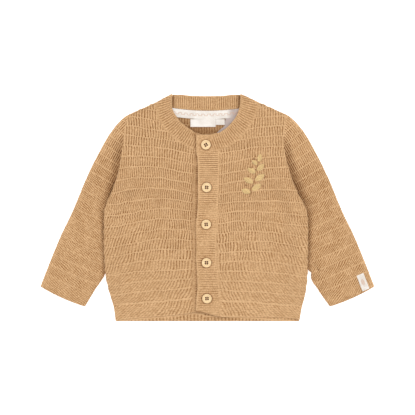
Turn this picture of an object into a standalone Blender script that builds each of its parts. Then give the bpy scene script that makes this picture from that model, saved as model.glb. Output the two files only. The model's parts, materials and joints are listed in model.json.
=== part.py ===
"""Baby's knitted cardigan with a round ribbed neck and a buttoned front, laid flat on a table.

X runs across the garment, towards the wearer's left. Y runs from the hem to the neck and Z up from the table.
The back lies on the table, the two fronts lie on it, and each sleeve is a flattened tube whose underarm is
tucked under the side of the body, which it lifts. Sizes are in millimetres until a mesh is made.
"""

import math
from collections import namedtuple

import bmesh
import bpy
import numpy as np
from mathutils import Matrix

MM = 0.001

# Cloth and how it lies
WALL = 2.0  # knitted cloth of the body, sleeves and neckband
BAND_WALL = 2.1  # the two front bands
TAPE_WALL = 0.8  # woven tape and labels, turned in double
SEAM = 0.4  # between two pieces at a seam, in plan
SLEEVE_SEAM = 0.7  # the same round the armhole
LAYER = 0.3  # between two pieces that lie on each other
EDGE_GAP = 0.5  # between front and back where they meet at a side or shoulder
AIR_SIDE = 1.6  # between front and back, at the sides and shoulders
AIR_CENTRE = 0.6  # the same beside the buttons
THICK = 2 * WALL + AIR_SIDE  # of the flat garment where it turns over at an edge
FOLD = THICK / 2
TAIL = 0.6  # upright end of a seamed edge, after front and back have each turned a quarter
ROLL = FOLD - EDGE_GAP / 2 - TAIL
LAP = BAND_WALL + LAYER  # how much the upper front band is above the lower one
TUCK = THICK + 0.4  # how high the tucked sleeve holds the side of the body

# Where the main points are
SHOULDER_TIP = (101.5, 121.5)
NECK_POINT = (67.5, 136.5)  # where shoulder and neckband meet
NECK_PEAK = (45.0, 147.7)  # the neckband's free edge where it turns over
BACK_NECK_Y = 126.5
BACK_NECK_RISE = 7.5  # of that seam, towards the turn at the shoulder
BACK_BAND_Y = 144.6
CUFF = ((217.2, -102.3), (158.8, -128.8))  # the corners at the outer and the underarm fold
CUFF_BOW = 2.0

# The front bands, and the neckband's two ends that lie over the top of them
LOWER_BAND = (9.5, -18.0)  # its free edge and its seam
LOWER_BAND_TOP = -15.1  # its seam at the neck
UPPER_BAND_FOOT = (-133.9, -141.0)  # at its free edge and at its seam
LOWER_BAND_FOOT = (-136.0, -139.0)  # at its seam and at its free edge
NECK_START = 15.5  # where the neckband comes off the bands on to the fronts
NECK_END = {"right": -9.5, "left": -14.2}  # past the middle front, each on its own side
NECK_END_SEAM = 69.0
NECK_END_FREE = {"right": 93.2, "left": 94.1}
LAP_RUN = (17.2, 52.0)  # over which the wearer's left front comes down from the upper band

# Buttons
BUTTON_R = 6.35
BUTTON_THICK = 2.8
HOLE_R = 0.85
HOLE_AT = 1.55
SHANK_R = 1.2
BUTTONHOLE = (15.6, 3.4)

Edge = namedtuple("Edge", "y right left")
BODY_EDGE = (  # half widths of the body: side seam up to the underarm at y 0, then armhole seam
    Edge(-147.7, 119.5, 119.8),
    Edge(-131.0, 121.6, 122.6),
    Edge(-115.0, 126.3, 126.8),
    Edge(-100.0, 130.0, 129.0),
    Edge(-85.0, 132.6, 130.0),
    Edge(-55.0, 134.3, 130.6),
    Edge(-25.0, 134.6, 130.9),
    Edge(-8.0, 134.2, 129.6),
    Edge(4.0, 131.6, 125.6),
    Edge(18.0, 125.5, 117.8),
    Edge(33.0, 120.0, 111.5),
    Edge(48.0, 115.8, 106.8),
    Edge(64.0, 112.4, 102.0),
    Edge(80.0, 109.8, 99.3),
    Edge(92.0, 108.6, 99.5),
    Edge(105.0, 107.0, 100.8),
    Edge(121.5, 101.5, 101.5),
)
UNDERARM_FOLD = (  # half widths of the sleeves' lower fold, which is tucked under the side of the body
    Edge(-128.8, 158.8, 158.8),
    Edge(-107.4, 146.0, 143.8),
    Edge(-90.0, 134.6, 133.8),
    Edge(-77.0, 128.5, 128.0),
    Edge(-64.0, 125.6, 123.4),
    Edge(-48.0, 125.5, 122.5),
    Edge(-30.0, 125.0, 121.3),
    Edge(-12.0, 123.0, 118.4),
    Edge(2.5, 121.5, 115.0),
)

Station = namedtuple("Station", "x y turn")
OUTER_FOLD = (  # the sleeve's upper fold, from shoulder to cuff, and its rows' fall inwards in degrees
    Station(SHOULDER_TIP[0] + SLEEVE_SEAM, SHOULDER_TIP[1], 42.0),
    Station(106.4, 118.8, 41.0),
    Station(122.0, 103.2, 38.0),
    Station(140.8, 72.0, 31.0),
    Station(156.4, 40.8, 27.0),
    Station(176.0, -6.0, 24.5),
    Station(191.0, -37.2, 24.0),
    Station(204.0, -68.4, 24.0),
    Station(*CUFF[0], 24.2),
)

Point = namedtuple("Point", "x y")
HEAD_LOW_Y = 20.0  # below this the sleeve's head goes in under the body, and on by these steps to its fold
HEAD_STEPS = (Point(4.1, 9.5), Point(3.5, 3.8), Point(0.0, 0.0))
RIGHT_FRONT_HEM = (
    Point(18.4, -136.0),
    Point(26.0, -137.6),
    Point(36.0, -139.0),
    Point(59.0, -141.7),
    Point(77.0, -143.5),
    Point(95.0, -145.3),
    Point(119.5, -146.3),
)
LEFT_FRONT_HEM = (
    Point(15.5, -141.0),
    Point(24.0, -141.6),
    Point(68.0, -142.5),
    Point(107.0, -143.4),
    Point(119.8, -145.8),
)

BandRow = namedtuple("BandRow", "y free seam")
UPPER_BAND = (
    BandRow(-140.0, -14.8, 16.8),
    BandRow(-122.0, -14.2, 16.2),
    BandRow(-104.0, -12.8, 15.2),
    BandRow(-85.0, -13.2, 13.9),
    BandRow(-65.0, -14.4, 11.8),
    BandRow(-45.0, -14.0, 10.8),
    BandRow(-25.0, -14.8, 12.3),
    BandRow(-8.0, -13.0, 12.9),
    BandRow(12.0, -12.0, 13.6),
    BandRow(45.0, -12.0, 14.7),
    BandRow(64.0, -12.5, 15.1),
    BandRow(71.0, -14.0, 15.1),
)

NeckRow = namedtuple("NeckRow", "seam_x seam_y free_x free_y")
FRONT_NECK = {  # the front half of the neckband, from the bands to the turn at the shoulder, evenly
    "right": (
        NeckRow(NECK_START, 75.0, NECK_START, 96.8),
        NeckRow(31.5, 82.5, 25.0, 103.0),
        NeckRow(45.5, 92.5, 33.8, 109.6),
        NeckRow(56.0, 103.5, 40.2, 117.5),
        NeckRow(63.0, 115.0, 44.6, 130.0),
        NeckRow(*NECK_POINT, *NECK_PEAK),
    ),
    "left": (
        NeckRow(NECK_START, 75.0, NECK_START, 96.8),
        NeckRow(31.0, 81.5, 24.6, 102.6),
        NeckRow(43.5, 91.0, 32.0, 110.3),
        NeckRow(52.5, 102.0, 38.0, 118.6),
        NeckRow(60.0, 114.5, 42.2, 130.5),
        NeckRow(*NECK_POINT, *NECK_PEAK),
    ),
}

BODY_ROWS = (-122.0, -107.5, -93.0, -60.0, -28.0, -8.0, 6.0, 20.0, 34.0, 48.0, 60.0)
UPPER_ROWS = 7  # between the last of these and the shoulder
SIDE_COLUMNS = (12.0, 19.0, 26.5, 34.0)  # how far in from the edge, on front and back alike

ButtonRow = namedtuple("ButtonRow", "x y turn")
BUTTONS = (
    ButtonRow(-2.0, 81.3, 32.0),
    ButtonRow(-1.0, 26.0, -4.0),
    ButtonRow(-1.6, -22.0, 5.0),
    ButtonRow(-1.2, -71.8, 0.0),
    ButtonRow(-0.6, -118.3, 3.0),
)

SIGN = {"right": -1, "left": 1}  # the wearer's side and the sign of its X


def smooth(xs, ys):
    """A smooth function through the rows of a table, which never overshoots them."""
    xs, ys = np.asarray(xs, float), np.asarray(ys, float)
    gap = np.diff(xs)
    slope = np.diff(ys) / gap
    tangent = np.concatenate([slope[:1], np.zeros(len(xs) - 2), slope[-1:]])
    for i in range(1, len(xs) - 1):
        if slope[i - 1] * slope[i] > 0:
            a, b = 2 * gap[i] + gap[i - 1], gap[i] + 2 * gap[i - 1]
            tangent[i] = (a + b) / (a / slope[i - 1] + b / slope[i])

    def value(x):
        x = np.clip(x, xs[0], xs[-1])
        i = np.clip(np.searchsorted(xs, x) - 1, 0, len(xs) - 2)
        t = (x - xs[i]) / gap[i]
        start, end = ys[i] * (1 + 2 * t), ys[i + 1] * (3 - 2 * t)
        return (
            (1 - t) ** 2 * (start + gap[i] * tangent[i] * t)
            + t * t * (end - gap[i] * tangent[i + 1] * (1 - t))
        )

    return value


def ease(start, end, x):
    """0 before start, 1 after end, and smooth between them."""
    t = np.clip((x - start) / (end - start), 0, 1)
    return t * t * (3 - 2 * t)


def turned_edge(distance, most):
    """Where cloth lies that is this far in from an edge which turns down by the angle most, measured over the
    cloth: how far in it is in plan, and how far down."""
    past = np.clip(distance - TAIL, 0, None)
    before = np.clip(TAIL - distance, 0, None)
    angle = np.clip(most - past / ROLL, 0, None)
    level = np.clip(past - ROLL * most, 0, None)
    inward = (TAIL - before) * np.cos(most) + ROLL * (np.sin(most) - np.sin(angle)) + level
    return inward, before * np.sin(most) + ROLL * (1 - np.cos(angle))


TURN_STEPS = np.array([0, TAIL, TAIL + ROLL * math.pi / 4, TAIL + ROLL * math.pi / 2])


def edge_curve(table, column):
    return smooth([row.y for row in table], [getattr(row, column) for row in table])


def shares(points):
    """How far along their path points are, as shares of its length."""
    length = np.cumsum(np.linalg.norm(np.diff(points, axis=0), axis=1))
    return np.append(0, length) / length[-1]


def along_points(points):
    """A smooth path through points, as a function of the share of its length."""
    x, y = (smooth(shares(points), np.array(points)[:, axis]) for axis in (0, 1))
    return lambda share: np.stack([x(share), y(share)], axis=-1)


body_edge = {side: edge_curve(BODY_EDGE, side) for side in SIGN}
front_hem = {
    "right": smooth([point.x for point in RIGHT_FRONT_HEM], [point.y for point in RIGHT_FRONT_HEM]),
    "left": smooth([point.x for point in LEFT_FRONT_HEM], [point.y for point in LEFT_FRONT_HEM]),
}
upper_band_free = edge_curve(UPPER_BAND, "free")
upper_band_seam = edge_curve(UPPER_BAND, "seam")
neck_seam = {side: along_points([(row.seam_x, row.seam_y) for row in FRONT_NECK[side]]) for side in SIGN}
neck_free = {side: along_points([(row.free_x, row.free_y) for row in FRONT_NECK[side]]) for side in SIGN}


def back_neck_y(x):
    """The seam between back and neckband."""
    return BACK_NECK_Y + BACK_NECK_RISE * (x / (NECK_POINT[0] - 1.7)) ** 2


def outward(start, end):
    """The direction across the line from start to end that points up and away from the body."""
    ahead = np.subtract(end, start)
    return np.abs([ahead[1], ahead[0]]) / np.linalg.norm(ahead)


def lower_band_seam(y):
    """The edge of the lower front band that is sewn to the wearer's right front, which the upper band hides
    near the neck."""
    return LOWER_BAND_TOP + (LOWER_BAND[1] - LOWER_BAND_TOP) * (1 - ease(20, 70, y))


def inner_edge(side, y):
    """The edge of a front at its band."""
    return (-lower_band_seam(y) if side == "right" else upper_band_seam(y)) + SEAM


def neck_end_seam(x):
    """The seam between a front band and the neckband's end over it, with x towards the wearer's own side."""
    rise = FRONT_NECK["left"][0].seam_y - NECK_END_SEAM
    return NECK_END_SEAM + rise * (x - NECK_END["left"]) / (NECK_START - NECK_END["left"])


def neck_end_free(side, x):
    """The free edge of the neckband's end."""
    rise = FRONT_NECK[side][0].free_y - NECK_END_FREE[side]
    return NECK_END_FREE[side] + rise * ease(2, NECK_START, x)


# Heights


def lift(x, y):
    """How high the back's underside is held by the sleeve tucked under the side."""
    inside = np.where(x < 0, body_edge["right"](y), body_edge["left"](y)) - np.abs(x)
    beside = 1 - ease(SIDE_COLUMNS[0], SIDE_COLUMNS[-1], inside)
    return TUCK * beside * ease(-122, -93, y) * (1 - ease(HEAD_LOW_Y, 56, y))


def front_floor(x, y):
    """The underside of the fronts, the lower front band and the front of the neckband."""
    air = AIR_CENTRE + (AIR_SIDE - AIR_CENTRE) * np.maximum(ease(25, 85, np.abs(x)), ease(68, 94, y))
    return lift(x, y) + WALL + air


def lap(side, x):
    """How far the wearer's left front is raised towards the band that lies on the other one."""
    return LAP * (1 - ease(*LAP_RUN, x)) if side == "left" else 0 * x


# Making objects


def new_material(name, colour, roughness):
    material = bpy.data.materials.new(name)
    material.use_nodes = True
    shader = material.node_tree.nodes["Principled BSDF"]
    shader.inputs["Base Color"].default_value = (*colour, 1.0)
    shader.inputs["Roughness"].default_value = roughness
    shader.inputs["Metallic"].default_value = 0.0
    return material


def add_object(name, mesh, collection, material):
    obj = bpy.data.objects.new(name, mesh)
    mesh.materials.append(material)
    collection.objects.link(obj)
    return obj


def sheet_mesh(name, points, wrap=False, flip=False):
    """A grid of faces through points[row][column], in mm. wrap joins its last column to its first."""
    rows, columns = points.shape[:2]
    mesh = bpy.data.meshes.new(name)
    bm = bmesh.new()
    bmesh.ops.create_grid(bm, x_segments=columns - 1, y_segments=rows - 1, size=1)
    for vertex, place in zip(bm.verts, points.reshape(-1, 3) * MM):
        vertex.co = place
    if wrap:
        bmesh.ops.remove_doubles(bm, verts=bm.verts, dist=1e-7)
    if flip:
        bmesh.ops.reverse_faces(bm, faces=bm.faces)
    bm.to_mesh(mesh)
    bm.free()
    mesh.shade_smooth()
    return mesh


def add_cloth(name, points, wall, collection, material, outwards=False, **shape):
    """A piece of cloth: a sheet with a wall grown behind its face, or in front of it if outwards."""
    obj = add_object(name, sheet_mesh(name, points, **shape), collection, material)
    shell = obj.modifiers.new("wall", "SOLIDIFY")
    shell.thickness = wall * MM
    shell.offset = 1 if outwards else -1
    return obj


# Body


def half_panel(inner, outer, middle):
    """Plan points and drop of half a panel, row by row, from its inner edge to its outer one. The outer edge
    turns over where it is a side seam, and is plain at the armhole. middle gives the columns past the side
    ones, as shares of the rest."""
    length = np.linalg.norm(outer - inner, axis=1)[:, None]
    most = (math.pi / 2) * (1 - ease(HEAD_LOW_Y, 75, outer[:, 1:]))
    near = np.array(SIDE_COLUMNS) * np.minimum(1, length / 85)
    cloth_near = near + ROLL * (most - np.sin(most)) + TAIL * (1 - np.cos(most))
    cloth_middle = cloth_near[:, -1:] + np.array(middle) * (length - near[:, -1:])
    turn = np.broadcast_to(TURN_STEPS, (len(length), len(TURN_STEPS)))
    inward, drop = turned_edge(np.hstack([turn, cloth_near, cloth_middle]), most)
    inwards = (inner - outer) / length
    plan = outer[:, None, :] + inward[..., None] * inwards[:, None, :]
    return plan[:, ::-1], drop[:, ::-1]


def with_shoulder(plan, drop, turned):
    """Plan points and drop with three more rows past the last one, which turns over at the shoulder where
    turned is 1 and goes on flat where it is 0."""
    over = outward(NECK_POINT, SHOULDER_TIP)
    inward, down = turned_edge(TURN_STEPS[::-1], math.pi / 2)
    flat = TURN_STEPS[::-1]
    plans, drops = [plan[:-1]], [drop[:-1]]
    for step in range(len(TURN_STEPS)):
        ahead = np.outer(turned, (ROLL - inward[step]) * over)
        ahead[:, 1] += (1 - turned) * (flat[0] - flat[step])
        plans.append((plan[-1] + ahead)[None])
        drops.append((drop[-1] + turned * down[step])[None])
    return np.concatenate(plans), np.concatenate(drops)


def upper_edge(end):
    """The outer ends of the rows between the last body row and the shoulder."""
    return np.linspace(BODY_ROWS[-1], end, UPPER_ROWS + 1)[1:]


def front_points(side):
    """The outside of one front, a grid from the hem to the shoulder and from the band to the side."""
    over = outward(NECK_POINT, SHOULDER_TIP)
    hem = front_hem[side]
    low = inner_edge(side, np.array(-136.0))
    y_in = np.array([float(hem(low)), *BODY_ROWS])
    neck = neck_seam[side](np.arange(UPPER_ROWS - 1) / (UPPER_ROWS - 1))
    inner = np.concatenate(
        [np.stack([inner_edge(side, y_in), y_in], axis=1), neck, [NECK_POINT - ROLL * over]]
    )
    tip = SHOULDER_TIP - ROLL * over
    y_out = np.array([float(hem(200)), *BODY_ROWS, *upper_edge(tip[1])])
    outer = np.stack([body_edge[side](y_out), y_out], axis=1)
    outer[-1] = tip
    plan, drop = half_panel(inner, outer, (0.25, 0.5, 0.75, 1))
    plan[0, :, 1] = hem(plan[0, :, 0])
    plan, drop = with_shoulder(plan, drop, np.ones(plan.shape[1]))
    x, y = SIGN[side] * plan[..., 0], plan[..., 1]
    z = front_floor(x, y) + WALL + lap(side, x) - drop
    return np.stack([x, y, z], axis=-1)


def add_front(side, collection, material):
    add_cloth(f"front_{side}", front_points(side), WALL, collection, material, flip=side == "right")


def back_half(side):
    """The underside of half the back, a grid from the hem to the shoulder and neck."""
    over = outward(NECK_POINT, SHOULDER_TIP)
    tip = SHOULDER_TIP - ROLL * over
    flat_neck = TURN_STEPS[-1] + SEAM
    top_in = BACK_NECK_Y - flat_neck
    y_out = np.array([BODY_EDGE[0].y, *BODY_ROWS, *upper_edge(tip[1])])
    y_in = np.array([BODY_EDGE[0].y, *BODY_ROWS, *upper_edge(top_in)])
    outer = np.stack([body_edge[side](y_out), y_out], axis=1)
    outer[-1] = tip
    plan, drop = half_panel(np.stack([0 * y_in, y_in], axis=1), outer, (0.03, 0.22, 0.41, 0.6, 0.8, 1))
    across = plan[-1, :, 0]
    slope = (NECK_POINT[1] - SHOULDER_TIP[1]) / (SHOULDER_TIP[0] - NECK_POINT[0])
    shoulder = tip[1] + slope * (tip[0] - across)
    top = np.minimum(shoulder, back_neck_y(across) - flat_neck)
    share = np.linspace(0, 1, UPPER_ROWS + 1)[1:] ** 2
    plan[-UPPER_ROWS:, :, 1] += share[:, None] * (top - plan[-1, :, 1])
    plan, drop = with_shoulder(plan, drop, ease(NECK_POINT[0], NECK_POINT[0] + 16, across))
    x, y = SIGN[side] * plan[..., 0], plan[..., 1]
    return np.stack([x, y, lift(x, y) + drop], axis=-1)


def add_back(collection, material):
    right, left = back_half("right"), back_half("left")
    points = np.concatenate([right[:, :0:-1], left], axis=1)
    add_cloth("back", points, WALL, collection, material, outwards=True)


# Sleeves


def first_true(test, low, high):
    """Where between low and high a test that fails at low starts to pass, by halving."""
    for _ in range(40):
        middle = (low + high) / 2
        passes = test(middle)
        low, high = np.where(passes, low, middle), np.where(passes, middle, high)
    return high


def sleeve_form(side):
    """Three functions: the place that lies a reach in from the outer fold, at a share along of the fold's
    length, the sleeve's width there, and whether a place is outside the armhole."""
    points = [(station.x, station.y) for station in OUTER_FOLD]
    fold = along_points(points)
    turn = smooth(shares(points), [math.radians(station.turn) for station in OUTER_FOLD])
    under = edge_curve(UNDERARM_FOLD, side)
    start = UNDERARM_FOLD[-1].y
    steps = np.array(HEAD_STEPS)[::-1] + (float(under(start)), start)
    y = np.linspace(HEAD_LOW_Y, SHOULDER_TIP[1], 30)
    head = smooth(np.append(steps[:, 1], y), np.append(steps[:, 0], body_edge[side](y) + SLEEVE_SEAM))

    def place(reach, along):
        across = np.stack([np.cos(turn(along)), np.sin(turn(along))], axis=-1)
        return fold(along) - np.asarray(reach)[..., None] * across

    def above(along):
        x, y = (fold(along) - steps[0]).T
        return x * np.sin(turn(along)) > y * np.cos(turn(along))

    first = first_true(above, 0.0, 1.0)

    def past_under(reach, along):
        point = place(reach, along)
        return point[..., 0] < under(point[..., 1])

    def width(along):
        along = np.maximum(along, first)
        return first_true(lambda reach: past_under(reach, along), 0 * along, 130 + 0 * along)

    def outside(point):
        return (point[..., 0] > head(point[..., 1])) | (point[..., 1] < start)

    return place, width, outside


def sleeve_points(side, rows=14, columns=8):
    """The outside of a sleeve, a grid from armhole to cuff and round the tube from its outer fold."""
    place, width, outside = sleeve_form(side)
    flat = np.linspace(0, 1, columns)
    turns = np.radians([45, 90, 135])
    ring = [(share, FOLD * (1 - 2 * share), 0.0) for share in flat]
    ring += [(1, -FOLD * (1 - math.sin(angle)), angle) for angle in turns]
    ring += [(share, FOLD * (1 - 2 * share), math.pi) for share in flat[::-1]]
    ring += [(0, FOLD * (1 - math.sin(angle)), angle) for angle in turns[::-1]]
    grid = []
    for share, more, angle in ring:
        start = first_true(lambda along: outside(place(share * width(along) + more, along)), 0.0, 0.8)
        along = np.linspace(start, 1, rows)
        reach = share * width(along) + more
        bow = CUFF_BOW * 4 * reach * (width(along) - reach) / width(along) ** 2 * ease(0.8, 1.0, along)
        plan = place(reach, along) + bow[:, None] * outward(*CUFF) * (1, -1)
        height = np.full(rows, FOLD * (1 + math.cos(angle)))
        grid.append(np.stack([SIGN[side] * plan[:, 0], plan[:, 1], height], axis=-1))
    grid.append(grid[0])
    return np.stack(grid, axis=1)


def add_sleeve(side, collection, material):
    add_cloth(
        f"sleeve_{side}",
        sleeve_points(side),
        WALL,
        collection,
        material,
        wrap=True,
        flip=side == "right",
    )


# Neckband


def neckband_half(side, end_rows=4, front_rows=7, back_rows=6, columns=4):
    """Half of the neckband's outside, from its end on the front band round the turn at the shoulder to the
    middle of the back."""
    across = np.linspace(0, 1, columns)
    point, peak = np.array(NECK_POINT), np.array(NECK_PEAK)
    over = outward(point, peak)
    on_turn = point + across[:, None] * (peak - point)
    on_turn[0] += SEAM * (peak - point) / np.linalg.norm(peak - point)
    base = on_turn - FOLD * over
    along = np.arange(front_rows) / (front_rows - 1)
    end = np.linspace(NECK_END[side], NECK_START, end_rows + 1)[:-1]
    seam = np.vstack([np.column_stack([end, neck_end_seam(end)]), neck_seam[side](along)])
    free = np.vstack([np.column_stack([end, neck_end_free(side, end)]), neck_free[side](along)])
    seam = seam + SEAM * (free - seam) / np.linalg.norm(free - seam, axis=1)[:, None]
    front = seam[:, None, :] + across[None, :, None] * (free - seam)[:, None, :]
    front[-1] = base
    x, y = SIGN[side] * front[..., 0], front[..., 1]
    rows = [np.stack([x, y, front_floor(x, y) + WALL + lap(side, x)], axis=-1)]
    for angle in np.radians([45, 90, 135]):
        turn = base + FOLD * math.sin(angle) * over
        z = np.full(columns, FOLD * (1 + math.cos(angle)))
        rows.append(np.stack([SIGN[side] * turn[:, 0], turn[:, 1], z], axis=-1)[None])
    inwards = np.linspace(1, 0, back_rows)[:, None]
    middle = BACK_NECK_Y + across * (BACK_BAND_Y - BACK_NECK_Y)
    x = inwards * base[:, 0]
    sag = (back_neck_y(x) - BACK_NECK_Y) - inwards * (back_neck_y(base[:, 0]) - BACK_NECK_Y)
    y = middle + inwards * (base[:, 1] - middle) + sag * (1 - across)
    rows.append(np.stack([SIGN[side] * x, y, 0 * x], axis=-1))
    return np.concatenate(rows, axis=0)


def add_neckband(collection, material):
    right, left = neckband_half("right"), neckband_half("left")
    points = np.concatenate([right, left[-2::-1]], axis=0)
    add_cloth("neckband", points, WALL, collection, material)


# Front bands


def band_points(left, right, low, high, raised, rows=17, columns=4):
    """The outside of a front band. Its long edges are functions of y, and its ends functions of x."""
    share = np.linspace(0, 1, columns)[None, :]

    def across(y):
        return left(y) + share * (right(y) - left(y))

    foot, top = low(across(BODY_EDGE[0].y)), high(across(NECK_END_SEAM))
    y = foot + np.linspace(0, 1, rows)[:, None] * (top - foot)
    x = across(y)
    return np.stack([x, y, front_floor(x, y) + BAND_WALL + raised], axis=-1)


def lens_cutter(name, x, y, collection):
    """A buttonhole's slit, as a tall lens that is cut through the upper layer alone."""
    bm = bmesh.new()
    depth = 2 * THICK
    bmesh.ops.create_cone(
        bm, cap_ends=True, segments=12, radius1=0.5 * MM, radius2=0.5 * MM, depth=depth * MM
    )
    bmesh.ops.scale(bm, verts=bm.verts, vec=(BUTTONHOLE[0], BUTTONHOLE[1], 1))
    mesh = bpy.data.meshes.new(name)
    bm.to_mesh(mesh)
    bm.free()
    cutter = bpy.data.objects.new(name, mesh)
    low = float(front_floor(x, y)) + BAND_WALL + LAYER / 2
    cutter.location = (x * MM, y * MM, (low + depth / 2) * MM)
    cutter.hide_render = True
    cutter.display_type = "WIRE"
    collection.objects.link(cutter)
    return cutter


def add_bands(collection, material):
    free, seam = LOWER_BAND
    lower = band_points(
        lower_band_seam,
        lambda y: free + 0 * y,
        lambda x: LOWER_BAND_FOOT[0] + (LOWER_BAND_FOOT[1] - LOWER_BAND_FOOT[0]) * ease(seam, free, x),
        lambda x: neck_end_seam(-x),
        0.0,
    )
    add_cloth("button_band", lower, BAND_WALL, collection, material)
    foot = UPPER_BAND[0]
    upper = band_points(
        upper_band_free,
        upper_band_seam,
        lambda x: UPPER_BAND_FOOT[0]
        + (UPPER_BAND_FOOT[1] - UPPER_BAND_FOOT[0]) * ease(foot.free, foot.seam, x),
        neck_end_seam,
        LAP,
    )
    add_cloth("buttonhole_band", upper, BAND_WALL, collection, material)


def cut_buttonholes(collection, cutters):
    """The top buttonhole is in the neckband's end, and the others are in the band below it."""
    for number, row in enumerate(BUTTONS, 1):
        cloth = collection.objects["neckband" if row.y > NECK_END_SEAM else "buttonhole_band"]
        slit = cloth.modifiers.new(f"buttonhole_{number}", "BOOLEAN")
        slit.operation = "DIFFERENCE"
        slit.object = lens_cutter(f"slit_{number}", row.x, row.y, cutters)


# Buttons


def button_mesh(cutters):
    """A four-hole button standing on Z 0: a turned disc with a raised rim, drilled through."""
    rim, dish = BUTTON_R, BUTTON_R - 1.7
    profile = (
        (0.0, BUTTON_THICK - 0.9),
        (dish - 0.8, BUTTON_THICK - 0.85),
        (dish + 0.1, BUTTON_THICK),
        (rim - 0.6, BUTTON_THICK - 0.1),
        (rim, BUTTON_THICK - 0.9),
        (rim - 0.3, 0.7),
        (rim - 1.4, 0.0),
        (0.0, 0.0),
    )
    mesh = bpy.data.meshes.new("button_profile")
    bm = bmesh.new()
    corners = [bm.verts.new((radius * MM, 0, height * MM)) for radius, height in profile]
    for first, second in zip(corners, corners[1:]):
        bm.edges.new((first, second))
    bm.to_mesh(mesh)
    bm.free()
    disc = bpy.data.objects.new("button_blank", mesh)
    cutters.objects.link(disc)
    turned = disc.modifiers.new("turned", "SCREW")
    turned.steps = turned.render_steps = 20
    turned.use_merge_vertices = True
    turned.merge_threshold = 1e-5
    bm = bmesh.new()
    for quarter in range(4):
        angle = math.radians(45 + 90 * quarter)
        place = Matrix.Translation((HOLE_AT * MM * math.cos(angle), HOLE_AT * MM * math.sin(angle), 0.001))
        bmesh.ops.create_cone(
            bm, cap_ends=True, segments=6, radius1=HOLE_R * MM, radius2=HOLE_R * MM, depth=0.01, matrix=place
        )
    drill_mesh = bpy.data.meshes.new("button_drill")
    bm.to_mesh(drill_mesh)
    bm.free()
    drill = bpy.data.objects.new("button_drill", drill_mesh)
    drill.hide_render = True
    drill.display_type = "WIRE"
    cutters.objects.link(drill)
    holes = disc.modifiers.new("holes", "BOOLEAN")
    holes.operation = "DIFFERENCE"
    holes.object = drill
    bpy.context.view_layer.update()
    drilled = disc.evaluated_get(bpy.context.evaluated_depsgraph_get())
    finished = bpy.data.meshes.new_from_object(drilled)
    bpy.data.objects.remove(disc)
    bpy.data.objects.remove(drill)
    finished.shade_smooth()
    finished.set_sharp_from_angle(angle=math.radians(40))
    return finished


def add_buttons(collection, cutters, wood, thread):
    """Five buttons on the upper band, each with its thread, which goes through the slit to the lower band."""
    button = button_mesh(cutters)
    for number, row in enumerate(BUTTONS, 1):
        lower_top = float(front_floor(row.x, row.y)) + BAND_WALL
        obj = add_object(f"button_{number}", button.copy(), collection, wood)
        obj.location = (row.x * MM, row.y * MM, (lower_top + LAP + LAYER) * MM)
        obj.rotation_euler.z = math.radians(row.turn)
        length = LAP - LAYER
        bm = bmesh.new()
        bmesh.ops.create_cone(
            bm, cap_ends=True, segments=8, radius1=SHANK_R * MM, radius2=SHANK_R * MM, depth=length * MM
        )
        mesh = bpy.data.meshes.new(f"button_thread_{number}")
        bm.to_mesh(mesh)
        bm.free()
        shank = add_object(f"button_thread_{number}", mesh, collection, thread)
        shank.location = (row.x * MM, row.y * MM, (lower_top + LAYER + length / 2) * MM)


# Tape and labels


def strip_points(centre, half_width, base, columns=3):
    """The underside of a strip along centre, a table of plan points, lying at the height base."""
    centre = np.array(centre, float)
    ahead = np.gradient(centre, axis=0)
    ahead /= np.linalg.norm(ahead, axis=1)[:, None]
    beside = np.stack([-ahead[:, 1], ahead[:, 0]], axis=1)
    across = np.linspace(-1, 1, columns)[None, :, None] * half_width
    plan = centre[:, None, :] + across * beside[:, None, :]
    return np.concatenate([plan, np.full(plan.shape[:2] + (1,), base)], axis=-1)


def add_tape_and_labels(collection, woven):
    """The tape over the back neck seam, its stretch that goes on down the left front's neckline, and the two
    labels under it."""
    on_back = WALL + LAYER
    strips = {
        "neck_tape": ([(x, back_neck_y(x) - 6.2) for x in np.linspace(-54, 54, 13)], 5.2),
        "neck_label": ([(-22.0, 109.8), (10.6, 109.8)], 4.9),
        "size_label": ([(11.2, 111.1), (22.3, 111.1)], 3.6),
    }
    for name, (centre, half_width) in strips.items():
        points = strip_points(centre, half_width, on_back)
        add_cloth(name, points, TAPE_WALL, collection, woven, outwards=True, flip=True)
    share = np.linspace(0, 1, 6)
    shown = along_points([(27.5, 116.0), (25.2, 112.0), (23.2, 107.2), (18.5, 102.0), (11.5, 96.0)])(share)
    hidden = along_points([(44.0, 118.0), (41.5, 110.0), (36.5, 102.5), (30.0, 96.5), (22.0, 91.5)])(share)
    plan = np.stack([shown, (shown + hidden) / 2, hidden], axis=1)
    points = np.concatenate([plan, np.full(plan.shape[:2] + (1,), on_back)], axis=-1)
    add_cloth("neck_tape_end", points, TAPE_WALL, collection, woven, outwards=True, flip=True)


def add_cuff_label(collection, woven):
    """A tab sewn flat on the left sleeve at the edge of its cuff."""
    place, _, _ = sleeve_form("left")
    along = np.linspace(0.915, 0.999, 4)
    plan = [place(reach + 0 * along, along) for reach in (7.5, 12.2, 16.9)]
    points = np.stack([np.column_stack([line, 0 * along + THICK + LAYER]) for line in plan], axis=1)
    add_cloth("cuff_label", points, TAPE_WALL, collection, woven, outwards=True)


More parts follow.
